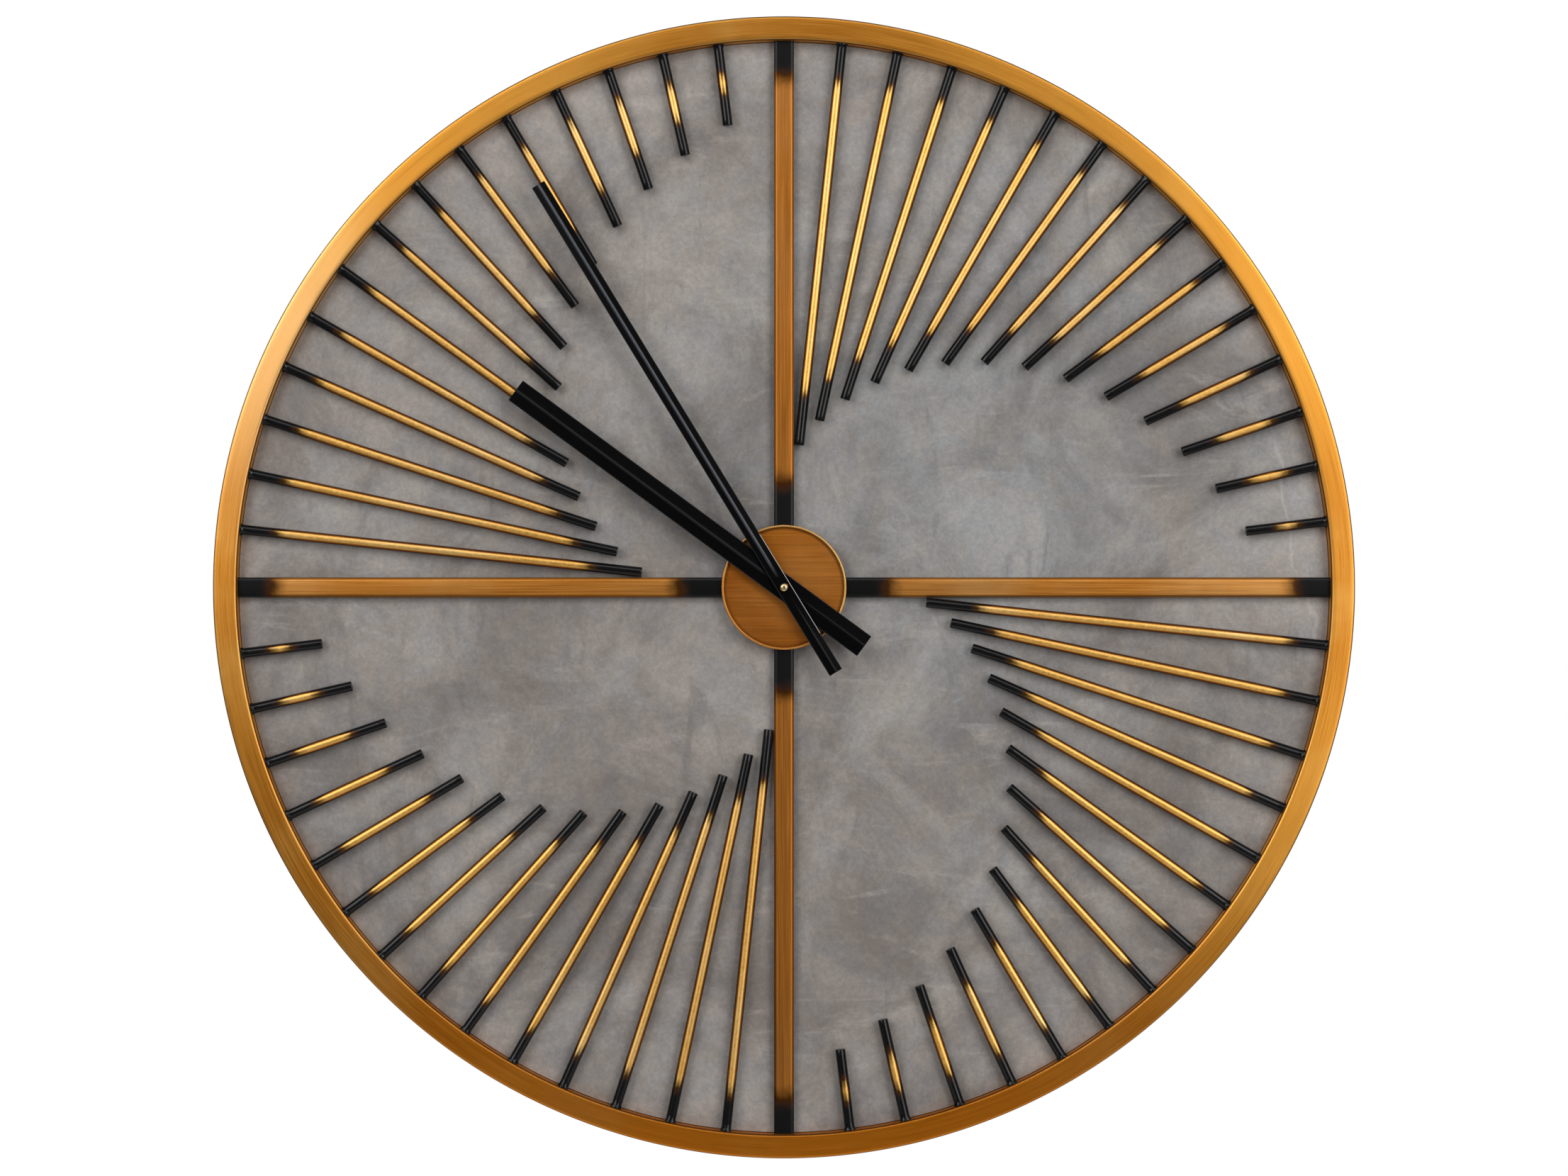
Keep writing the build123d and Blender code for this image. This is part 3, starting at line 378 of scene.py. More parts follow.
def dial_face():
    """A mottled grey sheet like washed leather: soft clouds, brushed strokes, grain and creases."""
    s = Surface("dial_leather", Specular_IOR_Level=0.35, Sheen_Weight=0.06)
    x, _, z = s.split()
    clouds = s.noise(8.0, 10.0, 0.68, 0.5)
    pale_strokes = s.noise(1.0, 8.0, 0.66, 1.4, vector=s.stretched((9.0, 30.0, 34.0), 62.0))
    dark_strokes = s.noise(1.0, 8.0, 0.66, 1.4, vector=s.stretched((30.0, 30.0, 10.0), -24.0))
    grain = s.noise(330.0, 5.0, 0.7, 0.4)
    grey = s.mix(s.fit(clouds, 0.30, 0.72), display(119, 115, 112), display(167, 165, 162))
    grey = s.mix(s.fit(pale_strokes, 0.54, 0.74, 0.0, 0.5), grey, display(178, 175, 170))
    grey = s.mix(s.fit(dark_strokes, 0.46, 0.26, 0.0, 0.55), grey, display(112, 110, 109))
    # Cooler in the upper right quarter than elsewhere, with smaller warm and cool blotches all over.
    away = s.plus(s.absolute(s.minus(x, 0.17)), s.absolute(s.minus(z, 0.10)))
    drift = s.plus(away, s.times(s.noise(5.0, 4.0, 0.6, 0.6), 0.7))
    cool = s.fit(drift, 0.75, 0.45)
    grey = s.tinted(grey, s.mix(cool, display(255, 250, 247), display(251, 253, 255)))
    blotch = s.fit(s.noise(26.0, 7.0, 0.66, 1.1), 0.36, 0.64)
    grey = s.tinted(grey, s.mix(blotch, display(242, 245, 249), display(254, 250, 246)))
    grey = s.mix(s.fit(grain, 0.36, 0.66), s.tinted(grey, display(236, 235, 234)), grey)
    bend = s.times(s.minus(s.noise(38.0, 3.0, 0.5), 0.5), 0.02)
    slant = s.plus(s.times(z, 0.15), bend)
    # Painted highlight: pale lines along the creases.
    for reach, low, high in DIAL_CREASES:
        off = s.absolute(s.minus(s.plus(x, slant), reach))
        span = s.times(s.fit(z, low, low + 0.03), s.fit(z, high, high - 0.03))
        crease = s.times(s.fit(off, 2.1 * MM, 0.2 * MM), span)
        grey = s.mix(s.times(crease, 0.22), grey, display(196, 194, 190))
    nap = s.plus(grain, s.times(s.plus(pale_strokes, dark_strokes), 0.5))
    s.put(
        Base_Color=grey,
        Roughness=s.fit(clouds, 0.3, 0.7, 0.64, 0.5),
        Normal=s.bump(nap, 0.00016, s.bump(clouds, 0.0012)),
    )
    return s.material


def lacquer_black():
    """Black enamel on the hands, with a painted highlight in metallic grey along the fold and a paler one on
    an edge near the hub.
    """
    s = Surface("satin_black", Specular_IOR_Level=0.08)
    orange_peel = s.noise(900.0, 2.0)
    fold = s.attribute("fold")
    enamel = s.mix(s.noise(60.0, 3.0), display(3, 3, 4), display(6, 6, 7))
    # Painted highlight: metallic grey along the fold, and a paler grey on the edge near the hub.
    edge_highlight = s.fit(fold, 0.8, 1.0)
    highlight_grey = s.mix(edge_highlight, display(102, 106, 112), display(176, 174, 170))
    s.put(Base_Color=s.mix(fold, enamel, highlight_grey), Metallic=s.times(fold, s.minus(1.0, edge_highlight)))
    s.put(Roughness=s.fit(orange_peel, 0.3, 0.7, 0.24, 0.32), Normal=s.bump(orange_peel, 0.000006))
    return s.material


def metal(name, dark, light, roughness, scale=(400.0, 400.0, 60.0), bump=0.00001):
    """A plain machined or rolled metal with faint marks."""
    s = Surface(name, Metallic=1.0)
    marks = s.noise(1.0, 4.0, 0.6, vector=s.stretched(scale, 12.0))
    stain = s.noise(45.0, 4.0)
    tone = s.mix(s.times(s.plus(marks, stain), 0.5), dark, light)
    s.put(Base_Color=tone, Roughness=s.fit(marks, 0.3, 0.7, roughness - 0.05, roughness + 0.07))
    s.put(Normal=s.bump(marks, bump))
    return s.material


def plastic(name, dark, light, roughness, clear=0.0):
    """Moulded plastic with a fine spark-eroded texture."""
    s = Surface(name, Subsurface_Weight=clear, Subsurface_Scale=0.002)
    texture = s.noise(2600.0, 2.0)
    flow = s.noise(40.0, 3.0, 0.5, 0.8)
    shine = s.fit(flow, 0.3, 0.7, roughness - 0.05, roughness + 0.05)
    s.put(Base_Color=s.mix(flow, dark, light), Roughness=shine, Normal=s.bump(texture, 0.000025))
    return s.material


def hardboard():
    """The rear of the backing board: brown fibreboard with the imprint of its pressing screen."""
    s = Surface("fibreboard", Specular_IOR_Level=0.25)
    x, _, z = s.split()
    wires = [s.math("SINE", s.times(way, 3600.0)) for way in (x, z)]
    screen = s.times(s.times(wires[0], wires[1]), 0.5)
    fibre = s.noise(1.0, 5.0, 0.65, 1.5, vector=s.stretched((420.0, 420.0, 1100.0), 35.0))
    cloud = s.noise(11.0, 4.0)
    tone = s.mix(s.fit(fibre, 0.3, 0.7), display(92, 62, 38), display(150, 112, 74))
    tone = s.mix(s.fit(cloud, 0.35, 0.7, 0.0, 0.5), tone, display(120, 88, 60))
    height = s.plus(s.times(screen, 0.35), fibre)
    s.put(Base_Color=tone, Roughness=0.82, Normal=s.bump(height, 0.00025))
    return s.material


def battery_sleeve():
    """A plain cell: steel ends and a shrunk sleeve of light grey with a blue band at the positive end."""
    s = Surface("cell_sleeve", Coat_Weight=0.3, Coat_Roughness=0.2)
    x = s.split()[0]
    sleeve = s.mix(s.fit(x, 13.8 * MM, 14.0 * MM), display(196, 198, 200), display(40, 84, 140))
    steel = s.math("MAXIMUM", s.fit(x, 23.6 * MM, 23.7 * MM), s.fit(x, -24.6 * MM, -24.7 * MM))
    s.put(Base_Color=s.mix(steel, sleeve, display(190, 190, 192)), Metallic=steel)
    s.put(Roughness=s.fit(s.noise(300.0), 0.3, 0.7, 0.26, 0.4), Normal=s.bump(s.noise(700.0), 0.00001))
    return s.material


WIRE_TURNS = (4200.0, 90.0, 90.0)
SLOT_SURFACES = {
    "bare_steel": metal("mill_steel", display(92, 92, 94), display(150, 150, 152), 0.42),
    "zinc_steel": metal("zinc_plate", display(150, 152, 156), display(198, 200, 204), 0.3),
    "brass": metal("turned_brass", display(206, 182, 128), display(234, 216, 170), 0.27),
    "copper": metal("copper_wire", display(150, 70, 34), display(196, 104, 56), 0.3, WIRE_TURNS, 0.00005),
    "magnet": metal("ferrite", display(40, 40, 42), display(62, 62, 64), 0.5),
    "crystal_can": metal("crystal_can", display(176, 176, 180), display(214, 214, 218), 0.22),
    "contact_steel": metal("nickel_strip", display(170, 168, 164), display(208, 206, 202), 0.26),
    "case_plastic": plastic("black_case", display(14, 14, 15), display(24, 24, 26), 0.46),
    "train_plastic": plastic("black_nylon", display(30, 30, 32), display(44, 44, 47), 0.5),
    "wheel_plastic": plastic("natural_acetal", display(206, 202, 190), display(232, 228, 218), 0.4, 0.3),
    "chip": plastic("epoxy_chip", display(10, 10, 11), display(18, 18, 19), 0.4),
    "circuit_board": plastic("circuit_board_resin", display(22, 62, 34), display(36, 88, 48), 0.35),
    "rubber": plastic("rubber_gasket", display(16, 16, 16), display(28, 28, 28), 0.75),
    "battery": battery_sleeve(),
    "board": hardboard(),
    "black_lacquer": lacquer_black(),
    "dial_grey": dial_face(),
}
RING_BRONZE = bronze_ring()
HUB_BRONZE = bronze_hub()
ROD_BRONZE = bronze_blackened(
    "bronze_rod", "none", ROD_LIT_TONES,
    roughness=0.45, gloss=0.24, glint=0.28, fade=24 * MM, axis_height=ROD_HEIGHT,
)
BAR_FINISH = {"roughness": 0.42, "gloss": 0.36, "glint": 0.2, "fade": 30 * MM}
BAR_BRONZE = {
    "x": bronze_blackened("bronze_bar_across_lit", "x", ACROSS_LIT_TONES, **BAR_FINISH),
    "z": bronze_blackened("bronze_bar_upright_shaded", "z", UPRIGHT_SHADED_TONES, **BAR_FINISH),
}

for node in nodes.values():
    for place in node.material_slots:
        slot_name = place.material.name if place.material else ""
        if slot_name in SLOT_SURFACES:
            place.material = SLOT_SURFACES[slot_name]


# ---------------------------------------------------------------- mesh helpers
def piece(name, points, faces, material, body, slot, *replaced, floats=None, sharp=32.0):
    """Makes a smooth-shaded piece that rides on a body and stands for the CAD nodes it replaces.

    floats gives a value per point for each named attribute; edges bent by more than sharp degrees stay sharp.
    """
    mesh = bpy.data.meshes.new(name)
    mesh.from_pydata([tuple(p) for p in points], [], faces)
    mesh.validate()
    mesh.update()
    solid = bmesh.new()
    solid.from_mesh(mesh)
    inside_out = solid.calc_volume(signed=True) < 0
    solid.free()
    if inside_out:
        mesh.flip_normals()
    for key, values in (floats or {}).items():
        mesh.attributes.new(key, "FLOAT", "POINT").data.foreach_set("value", values)
    mesh.shade_smooth()
    mesh.set_sharp_from_angle(angle=math.radians(sharp))
    mesh.materials.append(material)
    made = bpy.data.objects.new(name, mesh)
    bpy.context.scene.collection.objects.link(made)
    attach(made, body)
    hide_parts(*replaced)


def loft(loops, closed=False):
    """The points of loops of equal length, and faces between them; an open loft's ends are capped."""
    size = len(loops[0])
    count = len(loops)
    points = [p for loop in loops for p in loop]
    faces = []
    for i in range(count if closed else count - 1):
        a, b = i * size, (i + 1) % count * size
        for j in range(size):
            k = (j + 1) % size
            faces.append((a + j, b + j, b + k, a + k))
    if not closed:
        faces.append(tuple(range(size)))
        faces.append(tuple((count - 1) * size + j for j in reversed(range(size))))
    return points, faces


def arc(centre_radius, centre_height, radius, start, end, steps):
    """Points (radius, height) on an arc of a section, its angles in degrees from the outward direction."""
    turns = [math.radians(start + (end - start) * i / steps) for i in range(steps + 1)]
    return [(centre_radius + radius * math.cos(t), centre_height + radius * math.sin(t)) for t in turns]


def turned(profile, segments):
    """A closed section of (radius, height) turned about the arbor's axis."""
    loops = []
    for i in range(segments):
        out = clock(360.0 * i / segments)
        loops.append([out * r + Vector((0.0, -h, 0.0)) for r, h in profile])
    return loft(loops, closed=True)


# ---------------------------------------------------------------- ring
RING_SEGMENTS = 720
RING_STEPS = 6


def straight(start, end):
    """The points (radius, height) between two corners of the ring's section, without its ends."""
    shares = [i / RING_STEPS for i in range(1, RING_STEPS)]
    return [(start[0] + (end[0] - start[0]) * t, start[1] + (end[1] - start[1]) * t) for t in shares]


def corner(radius, height, start, end):
    return arc(radius, height, RING_CORNER, start, end, RING_STEPS)


outer_centre = RING_OUTER - RING_CORNER
inner_centre = RING_INNER + RING_CORNER
front_centre = RING_DEPTH - RING_CORNER
rear_centre = RING_CORNER
ring_section = (
    corner(outer_centre, rear_centre, -90, 0)
    + straight((RING_OUTER, rear_centre), (RING_OUTER, front_centre))
    + corner(outer_centre, front_centre, 0, 90)
    + straight((outer_centre, RING_DEPTH), (inner_centre, RING_DEPTH))
    + corner(inner_centre, front_centre, 90, 180)
    + straight((RING_INNER, front_centre), (RING_INNER, rear_centre))
    + corner(inner_centre, rear_centre, 180, 270)
)
ring_points, ring_faces = turned(ring_section, RING_SEGMENTS)
piece("ring_tube", ring_points, ring_faces, RING_BRONZE, "root", "bronzed_steel", "ring_frame")

# ---------------------------------------------------------------- dial sheet
DIAL_RINGS = 128
DIAL_SPOKES = 540
DIAL_SPREAD = 0.9
DIAL_HOLE = 4.5 * MM
DIAL_SET_BACK = 0.1 * MM
# How many there are to a metre, and how high they are.
WAVES = (11, 0.22 * MM)
PUCKERS = (42, 0.07 * MM)
sheet_low, sheet_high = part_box("dial_sheet")
dial_radius = sheet_high.x
dial_front, dial_rear = -sheet_low.y, -sheet_high.y


def ripple(x, z):
    """The sheet's own unevenness: slow waves, finer puckers, and less of both beside the cross bars."""
    slow = noise.noise(Vector((x * WAVES[0], 3.1, z * WAVES[0])))
    fine = noise.noise(Vector((x * PUCKERS[0], 7.7, z * PUCKERS[0])))
    off_bars = smooth(min(abs(x), abs(z)), 8 * MM, 30 * MM)
    return (WAVES[1] * slow + PUCKERS[1] * fine) * off_bars - DIAL_SET_BACK


dial_shares = [(i / DIAL_RINGS) ** DIAL_SPREAD for i in range(DIAL_RINGS + 1)]
dial_radii = [DIAL_HOLE + (dial_radius - DIAL_HOLE) * share for share in dial_shares]
dial_loops = []
for i in range(DIAL_SPOKES):
    out = clock(360.0 * i / DIAL_SPOKES)
    front = [out * r for r in dial_radii]
    loop = [Vector((p.x, -dial_front - ripple(p.x, p.z), p.z)) for p in front]
    loop += [out * r + Vector((0.0, -dial_rear, 0.0)) for r in (dial_radius, DIAL_HOLE)]
    dial_loops.append(loop)
dial_points, dial_faces = loft(dial_loops, closed=True)
DIAL_GREY = SLOT_SURFACES["dial_grey"]
piece("dial_leather_sheet", dial_points, dial_faces, DIAL_GREY, "root", "dial_grey", "dial_sheet")

# ---------------------------------------------------------------- rods of the rays
ROD_SIDES = 36
ROD_NEAR = 6 * MM
# The lengths of black paint on the 14 rods of a quarter: at the ring, and at the free end.
RIM_PAINT = [v * MM for v in (28, 28, 28, 28, 28, 28, 28, 28, 27, 27, 26, 25, 24, 23)]
TIP_PAINT = [v * MM for v in (41, 34, 33, 32, 33, 32, 31, 32, 31, 30, 30, 28, 26, 25)]


def rod(direction, start, height, seed):
    """One rod from its free end to its weld at the ring: its loops, and their distances from the centre."""
    across = Vector((direction.z, 0.0, -direction.x))
    # Distance from the centre, radius, and how lumpy the weld is there.
    stations = [
        (start, ROD_RADIUS - 0.45 * MM, 0.0),
        (start + 0.12 * MM, ROD_RADIUS - 0.15 * MM, 0.0),
        (start + 0.45 * MM, ROD_RADIUS, 0.0),
        (start + 6 * MM, ROD_RADIUS, 0.0),
        ((start + ROD_REACH) / 2, ROD_RADIUS, 0.0),
        (ROD_REACH - 6 * MM, ROD_RADIUS, 0.0),
        (ROD_REACH - 2.6 * MM, ROD_RADIUS, 0.0),
        (ROD_REACH - 2.0 * MM, ROD_RADIUS + 0.25 * MM, 0.5),
        (ROD_REACH - 1.2 * MM, ROD_RADIUS + 0.55 * MM, 1.0),
        (ROD_REACH - 0.5 * MM, ROD_RADIUS + 0.8 * MM, 0.8),
        (ROD_REACH, ROD_RADIUS + 0.9 * MM, 0.6),
    ]
    loops, reaches = [], []
    for reach, radius, lumps in stations:
        loop = []
        for j in range(ROD_SIDES):
            turn = math.tau * j / ROD_SIDES
            bead = noise.noise(Vector((math.cos(turn) * 1.6, math.sin(turn) * 1.6, seed * 3.7)))
            swollen = radius + lumps * bead * 0.7 * MM
            point = direction * reach + across * swollen * math.cos(turn)
            loop.append(point + Vector((0.0, -height - swollen * math.sin(turn), 0.0)))
        loops.append(loop)
        reaches.append(reach)
    return loops, reaches


for i in range(1, ROD_COUNT + 1):
    node_name = f"ray_rods_{i:02d}"
    angle = ROD_FIRST_ANGLE + ROD_PITCH * (i - 1)
    corners = [v.co for v in nodes[node_name].data.vertices]
    points, faces, from_tip, from_rim = [], [], [], []
    for quarter in range(4):
        direction = clock(angle + 90 * quarter)
        along = [c.dot(direction) for c in corners if abs(c.cross(direction).y) < ROD_NEAR]
        start = min(reach for reach in along if reach > 0)
        loops, reaches = rod(direction, start, ROD_HEIGHT, i * 4 + quarter)
        more_points, more_faces = loft(loops)
        faces += [tuple(v + len(points) for v in face) for face in more_faces]
        points += more_points
        for reach in reaches:
            from_tip += [reach - start - TIP_PAINT[i - 1]] * ROD_SIDES
            from_rim += [ROD_REACH - RIM_PAINT[i - 1] - reach] * ROD_SIDES
    piece(
        f"rods_{i:02d}", points, faces, ROD_BRONZE, "root", "bronzed_steel", node_name,
        floats={"from_tip_paint": from_tip, "from_rim_paint": from_rim},
    )

# ---------------------------------------------------------------- cross bars
BAR_STEPS = 24
# The black paint reaches this far from the arbor's axis, and covers this length at the ring.
BAR_HUB_PAINT = 84 * MM
BAR_RIM_PAINT = 28 * MM
EDGE = 0.25 * MM
bar_low, bar_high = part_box("cross_bar_3")
bar_rear = -bar_high.y
bar_start, bar_reach = bar_low.x, bar_high.x
half = BAR_WIDTH / 2
bevel_foot = BAR_FACE_HEIGHT - BAR_BEVEL_DEPTH
bevel_top = half - BAR_BEVEL
# The section's points (across, height), with the rear edges and both ends of the bevels broken.
bar_section = [
    (-half + EDGE, bar_rear),
    (half - EDGE, bar_rear),
    (half, bar_rear + EDGE),
    (half, bevel_foot - EDGE),
    (half - 0.08 * MM, bevel_foot - 0.05 * MM),
    (half - EDGE, bevel_foot + 0.08 * MM),
    (bevel_top + EDGE, BAR_FACE_HEIGHT - 0.10 * MM),
    (bevel_top, BAR_FACE_HEIGHT - 0.03 * MM),
    (bevel_top - EDGE, BAR_FACE_HEIGHT),
]
bar_section += [(-across, height) for across, height in reversed(bar_section[2:])]


def bar(direction):
    """One cross bar's loops from the hub to the ring, and their distances from the centre."""
    across = Vector((direction.z, 0.0, -direction.x))
    reaches = [bar_start + (bar_reach - bar_start) * i / BAR_STEPS for i in range(BAR_STEPS + 1)]
    loops = []
    for reach in reaches:
        loops.append([direction * reach + across * a + Vector((0.0, -h, 0.0)) for a, h in bar_section])
    return loops, reaches


for hour, angle in ((12, 0), (3, 90), (6, 180), (9, 270)):
    loops, reaches = bar(clock(angle))
    points, faces = loft(loops)
    size = len(bar_section)
    from_hub = [reach - BAR_HUB_PAINT for reach in reaches for _ in range(size)]
    from_rim = [bar_reach - BAR_RIM_PAINT - reach for reach in reaches for _ in range(size)]
    material = BAR_BRONZE["x" if hour in (3, 9) else "z"]
    piece(
        f"bar_{hour:02d}", points, faces, material, "root", "bronzed_steel", f"cross_bar_{hour}",
        floats={"from_tip_paint": from_hub, "from_rim_paint": from_rim}, sharp=50.0,
    )

# ---------------------------------------------------------------- hub
HUB_SEGMENTS = 256
hub_low, hub_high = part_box("hub_plate")
hub_radius, hub_top, hub_rear = hub_high.z, -hub_low.y, -hub_high.y
lip_inner = hub_radius - HUB_LIP_WIDTH
LIP_ROUND = 0.62 * MM
LIP_FILLET = 0.35 * MM
HUB_BROKEN_EDGE = 0.3 * MM
hub_section = (
    [(HUB_HOLE, hub_rear), (hub_radius - HUB_BROKEN_EDGE, hub_rear), (hub_radius, hub_rear + HUB_BROKEN_EDGE)]
    + arc(hub_radius - LIP_ROUND, hub_top - LIP_ROUND, LIP_ROUND, 0, 90, 6)
    + arc(lip_inner + LIP_ROUND, hub_top - LIP_ROUND, LIP_ROUND, 90, 180, 6)
    + arc(lip_inner - LIP_FILLET, HUB_FACE_HEIGHT + LIP_FILLET, LIP_FILLET, 0, -90, 4)
    + [(lip_inner - 3 * MM, HUB_FACE_HEIGHT), (HUB_HOLE + 6 * MM, HUB_FACE_HEIGHT)]
    + [(HUB_HOLE + HUB_BROKEN_EDGE, HUB_FACE_HEIGHT), (HUB_HOLE, HUB_FACE_HEIGHT - HUB_BROKEN_EDGE)]
)
hub_points, hub_faces = turned(hub_section, HUB_SEGMENTS)
piece("hub_disc", hub_points, hub_faces, HUB_BRONZE, "root", "bronzed_steel", "hub_plate")


# ---------------------------------------------------------------- hands
def sheet(cells):
    """A closed sheet over some cells (i, j) of a grid: the grid's corners in use, and the sheet's faces.

    The faces number all the corners in order on the top side first, and then again on the underside.
    """
    spots = sorted({(i + a, j + b) for i, j in cells for a in (0, 1) for b in (0, 1)})
    number = {spot: n for n, spot in enumerate(spots)}
    under = len(spots)
    faces = []
    for i, j in sorted(cells):
        corners = [number[spot] for spot in ((i, j), (i + 1, j), (i + 1, j + 1), (i, j + 1))]
        faces.append(tuple(corners))
        faces.append(tuple(under + v for v in reversed(corners)))
        for k, beside in enumerate(((i, j - 1), (i + 1, j), (i, j + 1), (i - 1, j))):
            if beside not in cells:
                a, b = corners[k], corners[(k + 1) % 4]
                faces.append((b, a, under + a, under + b))
    return spots, faces


# The lowered rim of a hand's face, the roundness of its ridge, the half width of its rib, and the rib's share
# of the fold's height; then the strength of the painted highlight on the rim everywhere.
RIM = 0.4 * MM
RIDGE_ROUND = 0.35 * MM
RIB = 1.5 * MM
RIB_SHARE = 0.22
RIM_HIGHLIGHT = 0.2
BLADE_STEPS = 12


def blade(name, body, node_name, angle, length, tail, width, bore, crease, fold_highlight, hub_edge_highlight):
    """A hand of folded sheet: flat round its bore, with a ridge and a rib along the middle further out.

    crease is the ridge's height. The last two arguments say how strong, from 0 to 1, the painted highlight is
    along the fold and on one edge near the hub.
    """
    rear = -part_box(node_name)[1].y
    direction = clock(angle)
    across = Vector((direction.z, 0.0, -direction.x))
    side = width / 2
    slope = math.hypot(side, RIDGE_ROUND) - RIDGE_ROUND
    highlight_from, highlight_to = -0.6 * tail, 2 * HAND_FOLDED
    one_side = [side, side - RIM, side - 1.4 * RIM, side * 0.6, bore]
    one_side += [RIB * share for share in (1.0, 0.8, 0.6, 0.4, 0.2)]
    offsets = sorted([0.0] + one_side + [-offset for offset in one_side])
    stations = [-tail, -tail + RIM, -HAND_FOLDED, -HAND_FLAT, 0.0, HAND_FLAT, HAND_FOLDED, length]
    stations += [-bore, -0.4 * bore, 0.4 * bore, bore]
    stations += [end + step for end in (highlight_from, highlight_to) for step in (-2 * MM, 2 * MM)]
    shares = [i / BLADE_STEPS for i in range(1, BLADE_STEPS + 1)]
    stations += [HAND_FOLDED + (length - RIM - HAND_FOLDED) * share for share in shares]
    stations.sort()
    cells = {
        (i, j)
        for i in range(len(stations) - 1)
        for j in range(len(offsets) - 1)
        if abs(stations[i] + stations[i + 1]) > 2 * bore or abs(offsets[j] + offsets[j + 1]) > 2 * bore
    }
    spots, faces = sheet(cells)
    top, bottom, highlight = [], [], []
    for i, j in spots:
        reach, offset = stations[i], offsets[j]
        folded = min(1.0, max(0.0, (abs(reach) - HAND_FLAT) / (HAND_FOLDED - HAND_FLAT)))
        ridge = 1 - (math.hypot(offset, RIDGE_ROUND) - RIDGE_ROUND) / slope
        lift = crease * folded * (1 - RIB_SHARE) * ridge
        if abs(offset) < RIB:
            lift += crease * folded * RIB_SHARE * math.cos(math.pi / 2 * offset / RIB) ** 2
        at_side = abs(offset) > side - RIM / 2
        at_end = i in (0, len(stations) - 1)
        drop = RIM * 0.6 if at_side or at_end else 0.0
        # The square of cells that is left out becomes the round bore.
        to_bore = bore / math.hypot(reach, offset) if max(abs(reach), abs(offset)) == bore else 1.0
        place = (direction * reach + across * offset) * to_bore
        top.append(place + Vector((0.0, -(rear + HAND_THICKNESS + lift - drop), 0.0)))
        bottom.append(place + Vector((0.0, -(rear + lift), 0.0)))
        # Painted highlight: faint on the edges everywhere, strongest on one edge near the hub, and along the
        # blade's fold.
        if abs(offset) > side - 1.2 * RIM:
            highlight.append(hub_edge_highlight if offset > 0 and highlight_from < reach < highlight_to else RIM_HIGHLIGHT)
        else:
            highlight.append(fold_highlight * folded * max(0.0, 1 - abs(offset) / RIB) if reach > 0 else 0.0)
    highlight += [0.0] * len(bottom)
    material = SLOT_SURFACES["black_lacquer"]
    piece(
        name, top + bottom, faces, material, body, "black_lacquer", node_name,
        floats={"fold": highlight}, sharp=12.0,
    )


blade(
    "minute_blade", "minute_train", "minute_hand", 328.6,
    length=376.6 * MM, tail=79.5 * MM, width=11.5 * MM, bore=2.6 * MM, crease=1.3 * MM,
    fold_highlight=0.7, hub_edge_highlight=1.0,
)
blade(
    "hour_blade", "hour_train", "hour_hand", 306.3,
    length=266.0 * MM, tail=79.5 * MM, width=19.5 * MM, bore=3.6 * MM, crease=1.8 * MM,
    fold_highlight=0.1, hub_edge_highlight=0.2,
)

# ---------------------------------------------------------------- battery
# Distance from the negative end, and radius: crimped end, the sleeve's curled edges, shoulder and nub.
CELL_SECTIONS = [
    (v * MM, r * MM)
    for v, r in (
        (0.25, 4.4), (0.05, 4.8), (0.0, 5.2), (0.0, 6.0), (0.15, 6.45), (0.4, 6.7), (0.42, 6.9), (0.6, 7.1),
        (1.0, 7.23), (1.4, 7.25), (25.0, 7.25), (47.6, 7.25), (48.1, 7.2), (48.45, 7.05), (48.6, 6.85),
        (48.62, 6.6), (48.9, 6.3), (49.2, 5.6), (49.2, 3.1), (49.28, 2.82), (49.6, 2.75), (50.0, 2.7),
        (50.22, 2.55), (50.3, 2.2),
    )
]
CELL_SIDES = 48
cell_low, cell_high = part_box("aa_battery")
cell_middle = (cell_low + cell_high) / 2
cell_loops = []
for along, radius in CELL_SECTIONS:
    centre = Vector((cell_low.x + along, cell_middle.y, cell_middle.z))
    turns = [math.tau * j / CELL_SIDES for j in range(CELL_SIDES)]
    cell_loops.append([centre + Vector((0.0, math.cos(t), -math.sin(t))) * radius for t in turns])
cell_points, cell_faces = loft(cell_loops)
piece("battery_cell", cell_points, cell_faces, SLOT_SURFACES["battery"], "battery", "battery", "aa_battery")

# ---------------------------------------------------------------- stage, light and camera
scene = bpy.context.scene
scene.view_settings.view_transform = "Standard"

FLOOR_RADIUS = 1.4
FLOOR_DROP = 0.3
FLOOR_SPOKES = 96
FLOOR_RINGS = 4
FADE_FROM = 0.4
FADE_TO = 1.35
floor_height = cad_low.z - FLOOR_DROP
floor_points, floor_faces = [], []
for i in range(FLOOR_SPOKES):
    out = clock(360.0 * i / FLOOR_SPOKES) * FLOOR_RADIUS / FLOOR_RINGS
    floor_points += [(out.x * j, out.z * j, floor_height) for j in range(FLOOR_RINGS + 1)]
    a, b = i * (FLOOR_RINGS + 1), (i + 1) % FLOOR_SPOKES * (FLOOR_RINGS + 1)
    floor_faces += [(a + j, a + j + 1, b + j + 1, b + j) for j in range(FLOOR_RINGS)]
floor_mesh = bpy.data.meshes.new("floor")
floor_mesh.from_pydata(floor_points, [], floor_faces)


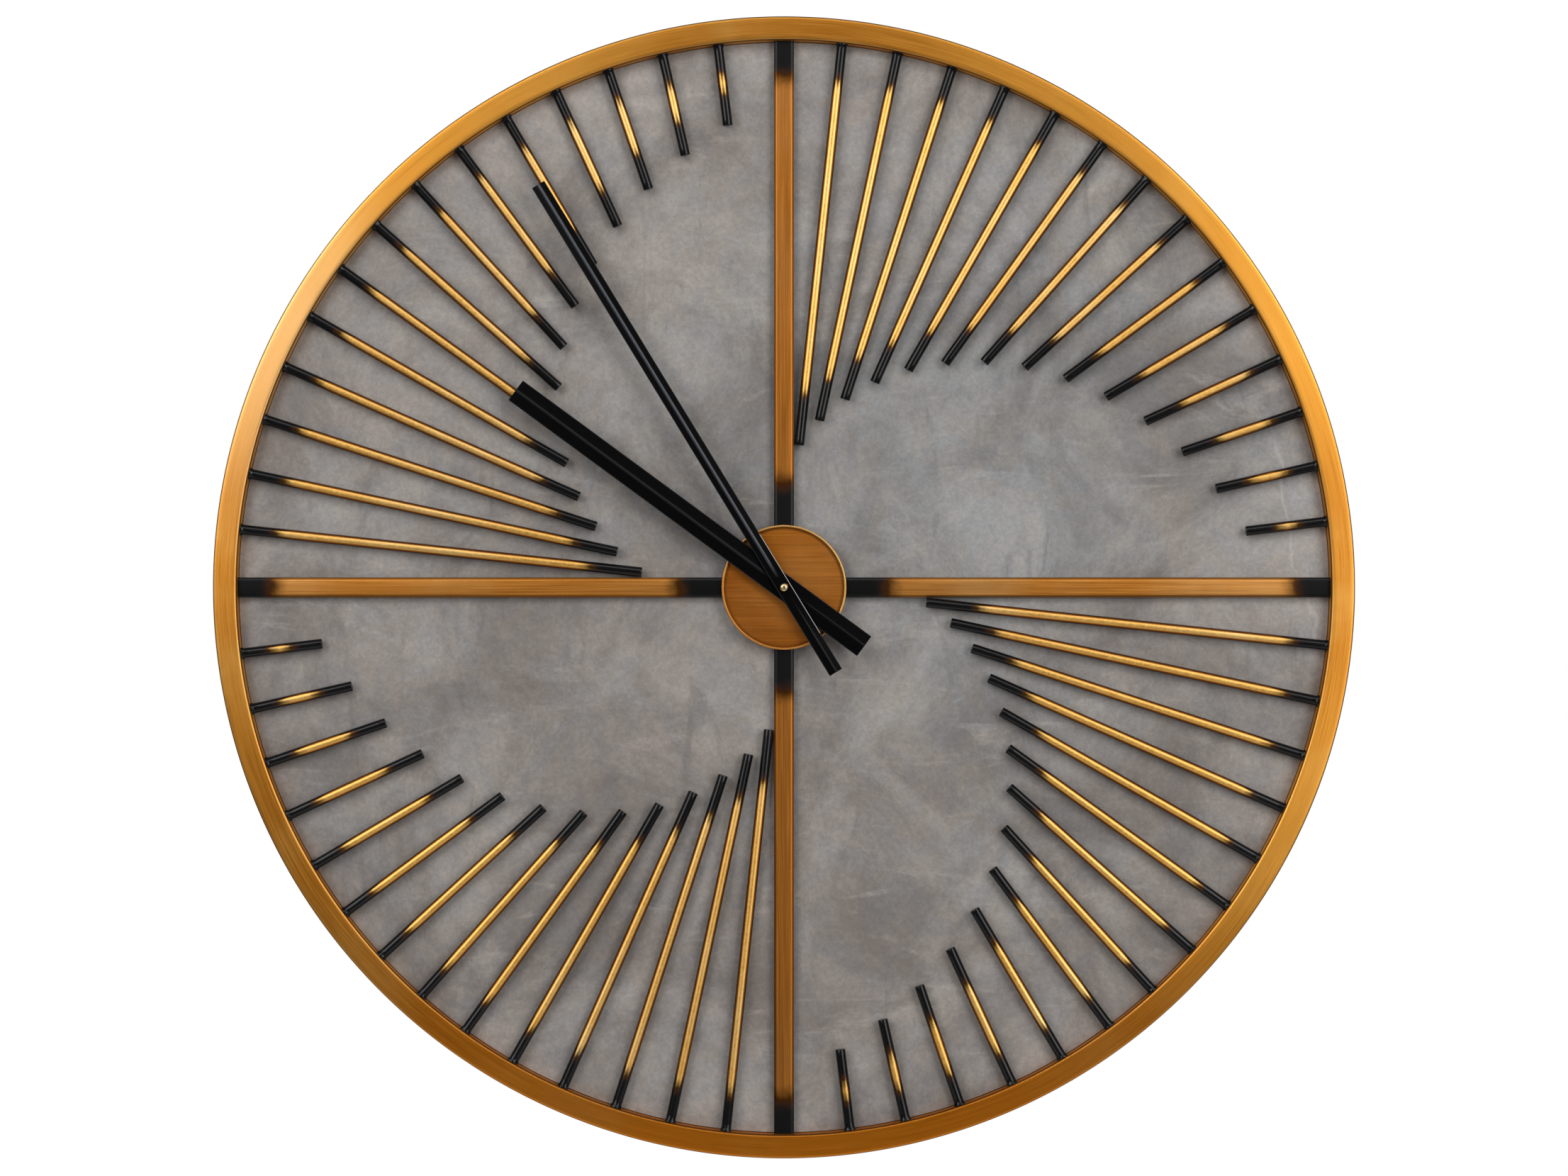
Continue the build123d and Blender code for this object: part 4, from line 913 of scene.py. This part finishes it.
def pale_floor():
    """A matt, near-white floor that fades out towards its rim."""
    s = Surface("pale_floor", Roughness=0.9, Specular_IOR_Level=0.1)
    x, y, _ = s.split()
    s.put(
        Base_Color=s.mix(s.noise(3.0), display(222, 222, 222), display(226, 226, 226)),
        Alpha=s.fit(s.length(x, y), FADE_FROM, FADE_TO, 1.0, 0.0),
        Emission_Color=level(1.0),
        Emission_Strength=0.12,
    )
    return s.material


floor_mesh.materials.append(pale_floor())
floor = bpy.data.objects.new("floor", floor_mesh)
scene.collection.objects.link(floor)

# The surroundings are white for the camera and light the clock only faintly.
world = bpy.data.worlds.new("studio")
scene.world = world
world.use_nodes = True
sky = world.node_tree
background = sky.nodes["Background"]
background.inputs["Color"].default_value = (1.0, 1.0, 1.0, 1.0)
seen = sky.nodes.new("ShaderNodeLightPath")
strength = sky.nodes.new("ShaderNodeMapRange")
strength.inputs["To Min"].default_value = 0.12
strength.inputs["To Max"].default_value = 1.0
sky.links.new(seen.outputs["Is Camera Ray"], strength.inputs["Value"])
sky.links.new(strength.outputs[0], background.inputs["Strength"])


def softbox(name, place, width, height, power):
    """A rectangular soft light aimed at the clock's centre."""
    light = bpy.data.lights.new(name, "AREA")
    light.shape = "RECTANGLE"
    light.size, light.size_y = width, height
    light.energy = power
    lamp = bpy.data.objects.new(name, light)
    lamp.location = place
    lamp.rotation_euler = (-Vector(place)).to_track_quat("-Z", "Y").to_euler()
    scene.collection.objects.link(lamp)


softbox("key_right", (1.75, -2.0, 0.6), 1.3, 2.6, 46.0)
softbox("key_left", (-1.7, -2.0, 0.95), 1.3, 2.1, 38.0)
softbox("top", (0.0, -1.8, 1.9), 2.2, 1.1, 17.0)
softbox("rear_left", (-1.0, 2.4, 0.9), 1.2, 1.2, 26.0)
softbox("rear_right", (1.0, 2.4, 0.9), 1.2, 1.2, 26.0)

CAMERA_DISTANCE = 3.0
CAMERA_DROP = 0.5 * MM
lens = bpy.data.cameras.new("camera")
lens.lens = 85.0
lens.sensor_width = 36.0
camera = bpy.data.objects.new("camera", lens)
camera.location = (0.0, -CAMERA_DISTANCE, -CAMERA_DROP)
camera.rotation_euler = (math.radians(90), 0.0, 0.0)
scene.collection.objects.link(camera)
scene.camera = camera
